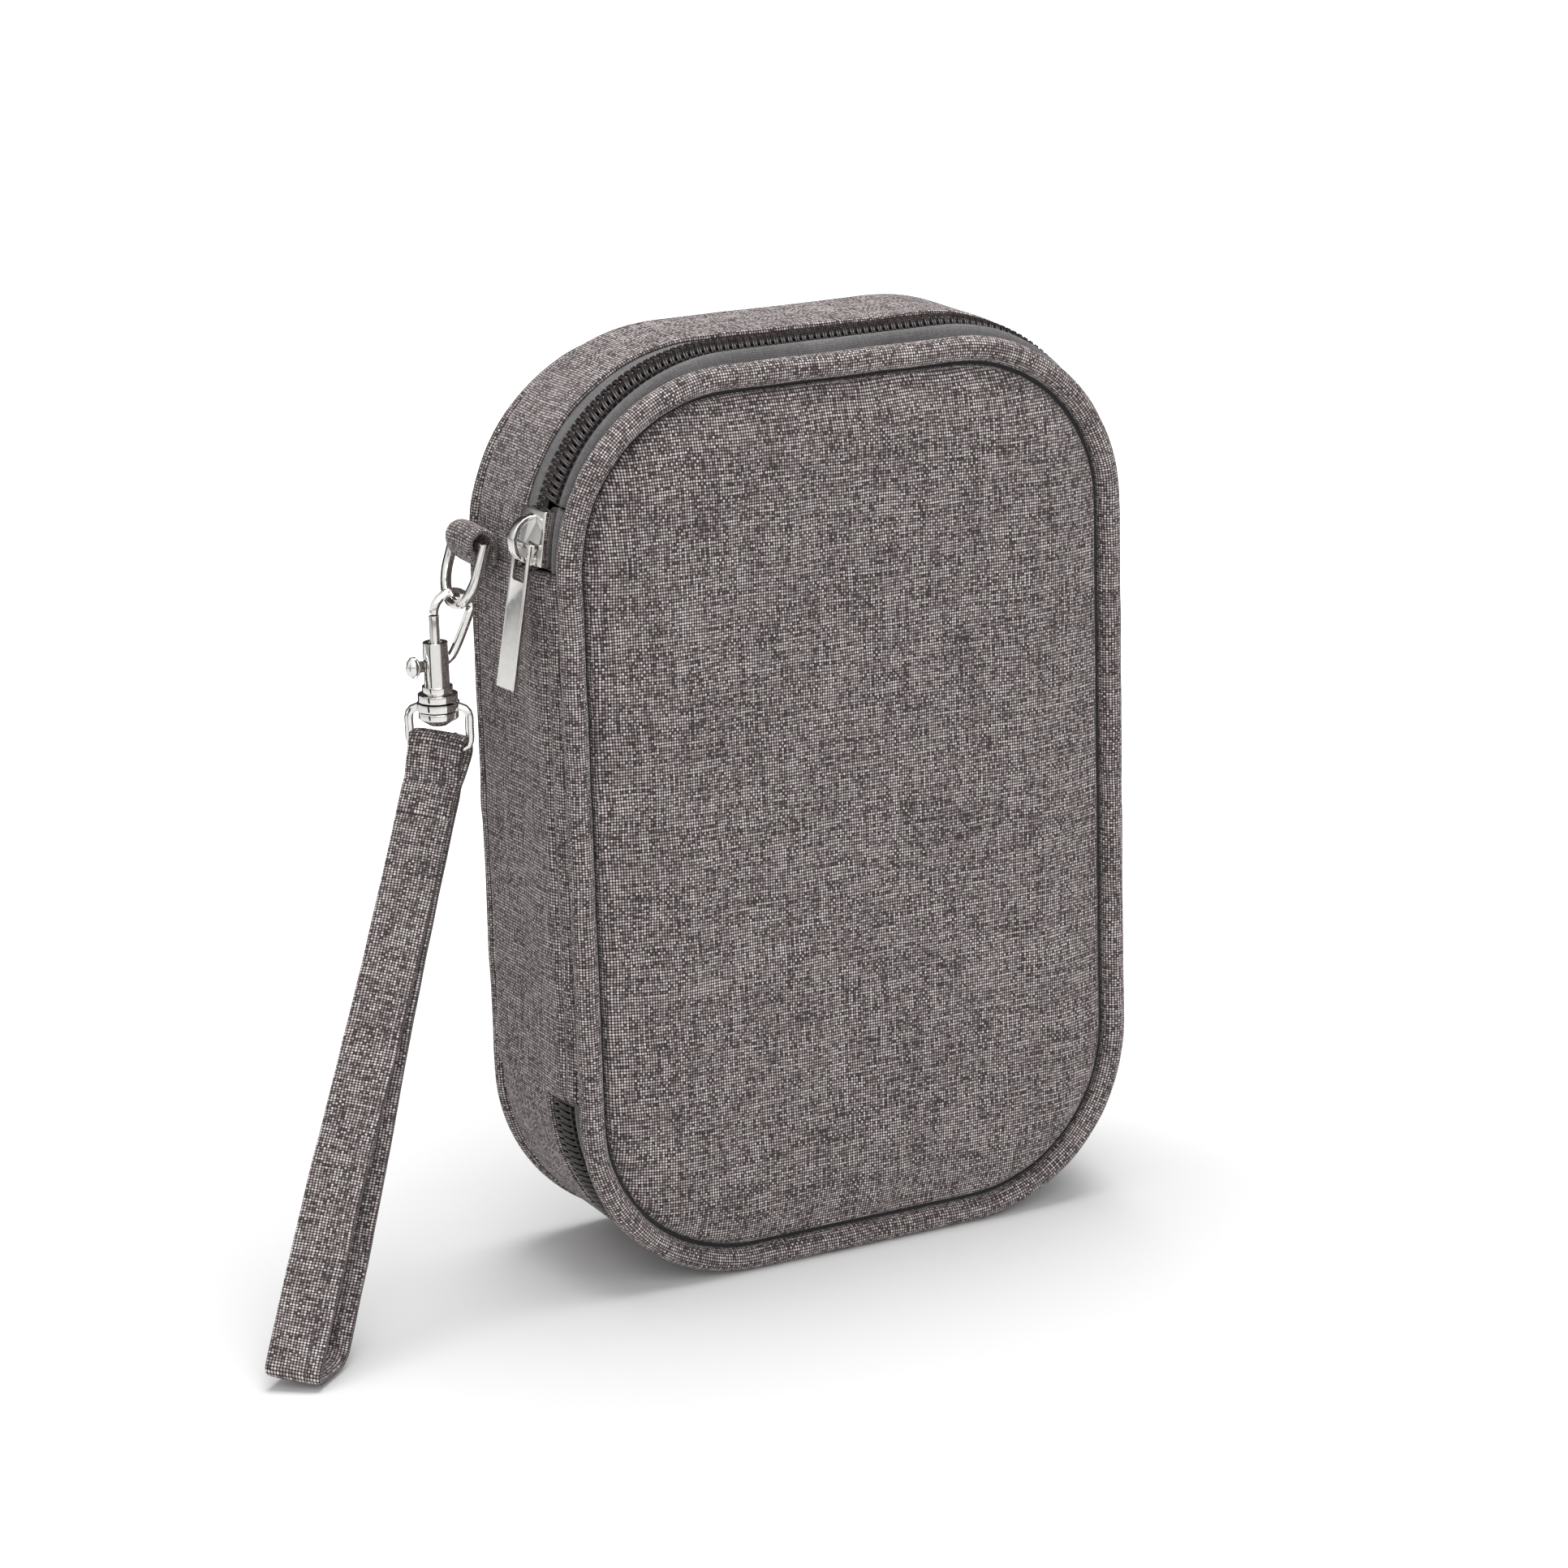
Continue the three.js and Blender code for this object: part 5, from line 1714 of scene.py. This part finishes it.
def unregister():
    """Takes the panel, the steps and the settings away again."""
    bpy.utils.unregister_class(CasePanel)
    for step in reversed(STEPS):
        bpy.utils.unregister_class(step)
    for name, group in reversed(GROUPS):
        delattr(bpy.types.Scene, name)
        bpy.utils.unregister_class(group)


def main():
    """Dresses the case."""
    register()
    for step in STEPS:
        group, name = step.bl_idname.split(".")
        getattr(getattr(bpy.ops, group), name)()


if __name__ == "__main__":
    main()
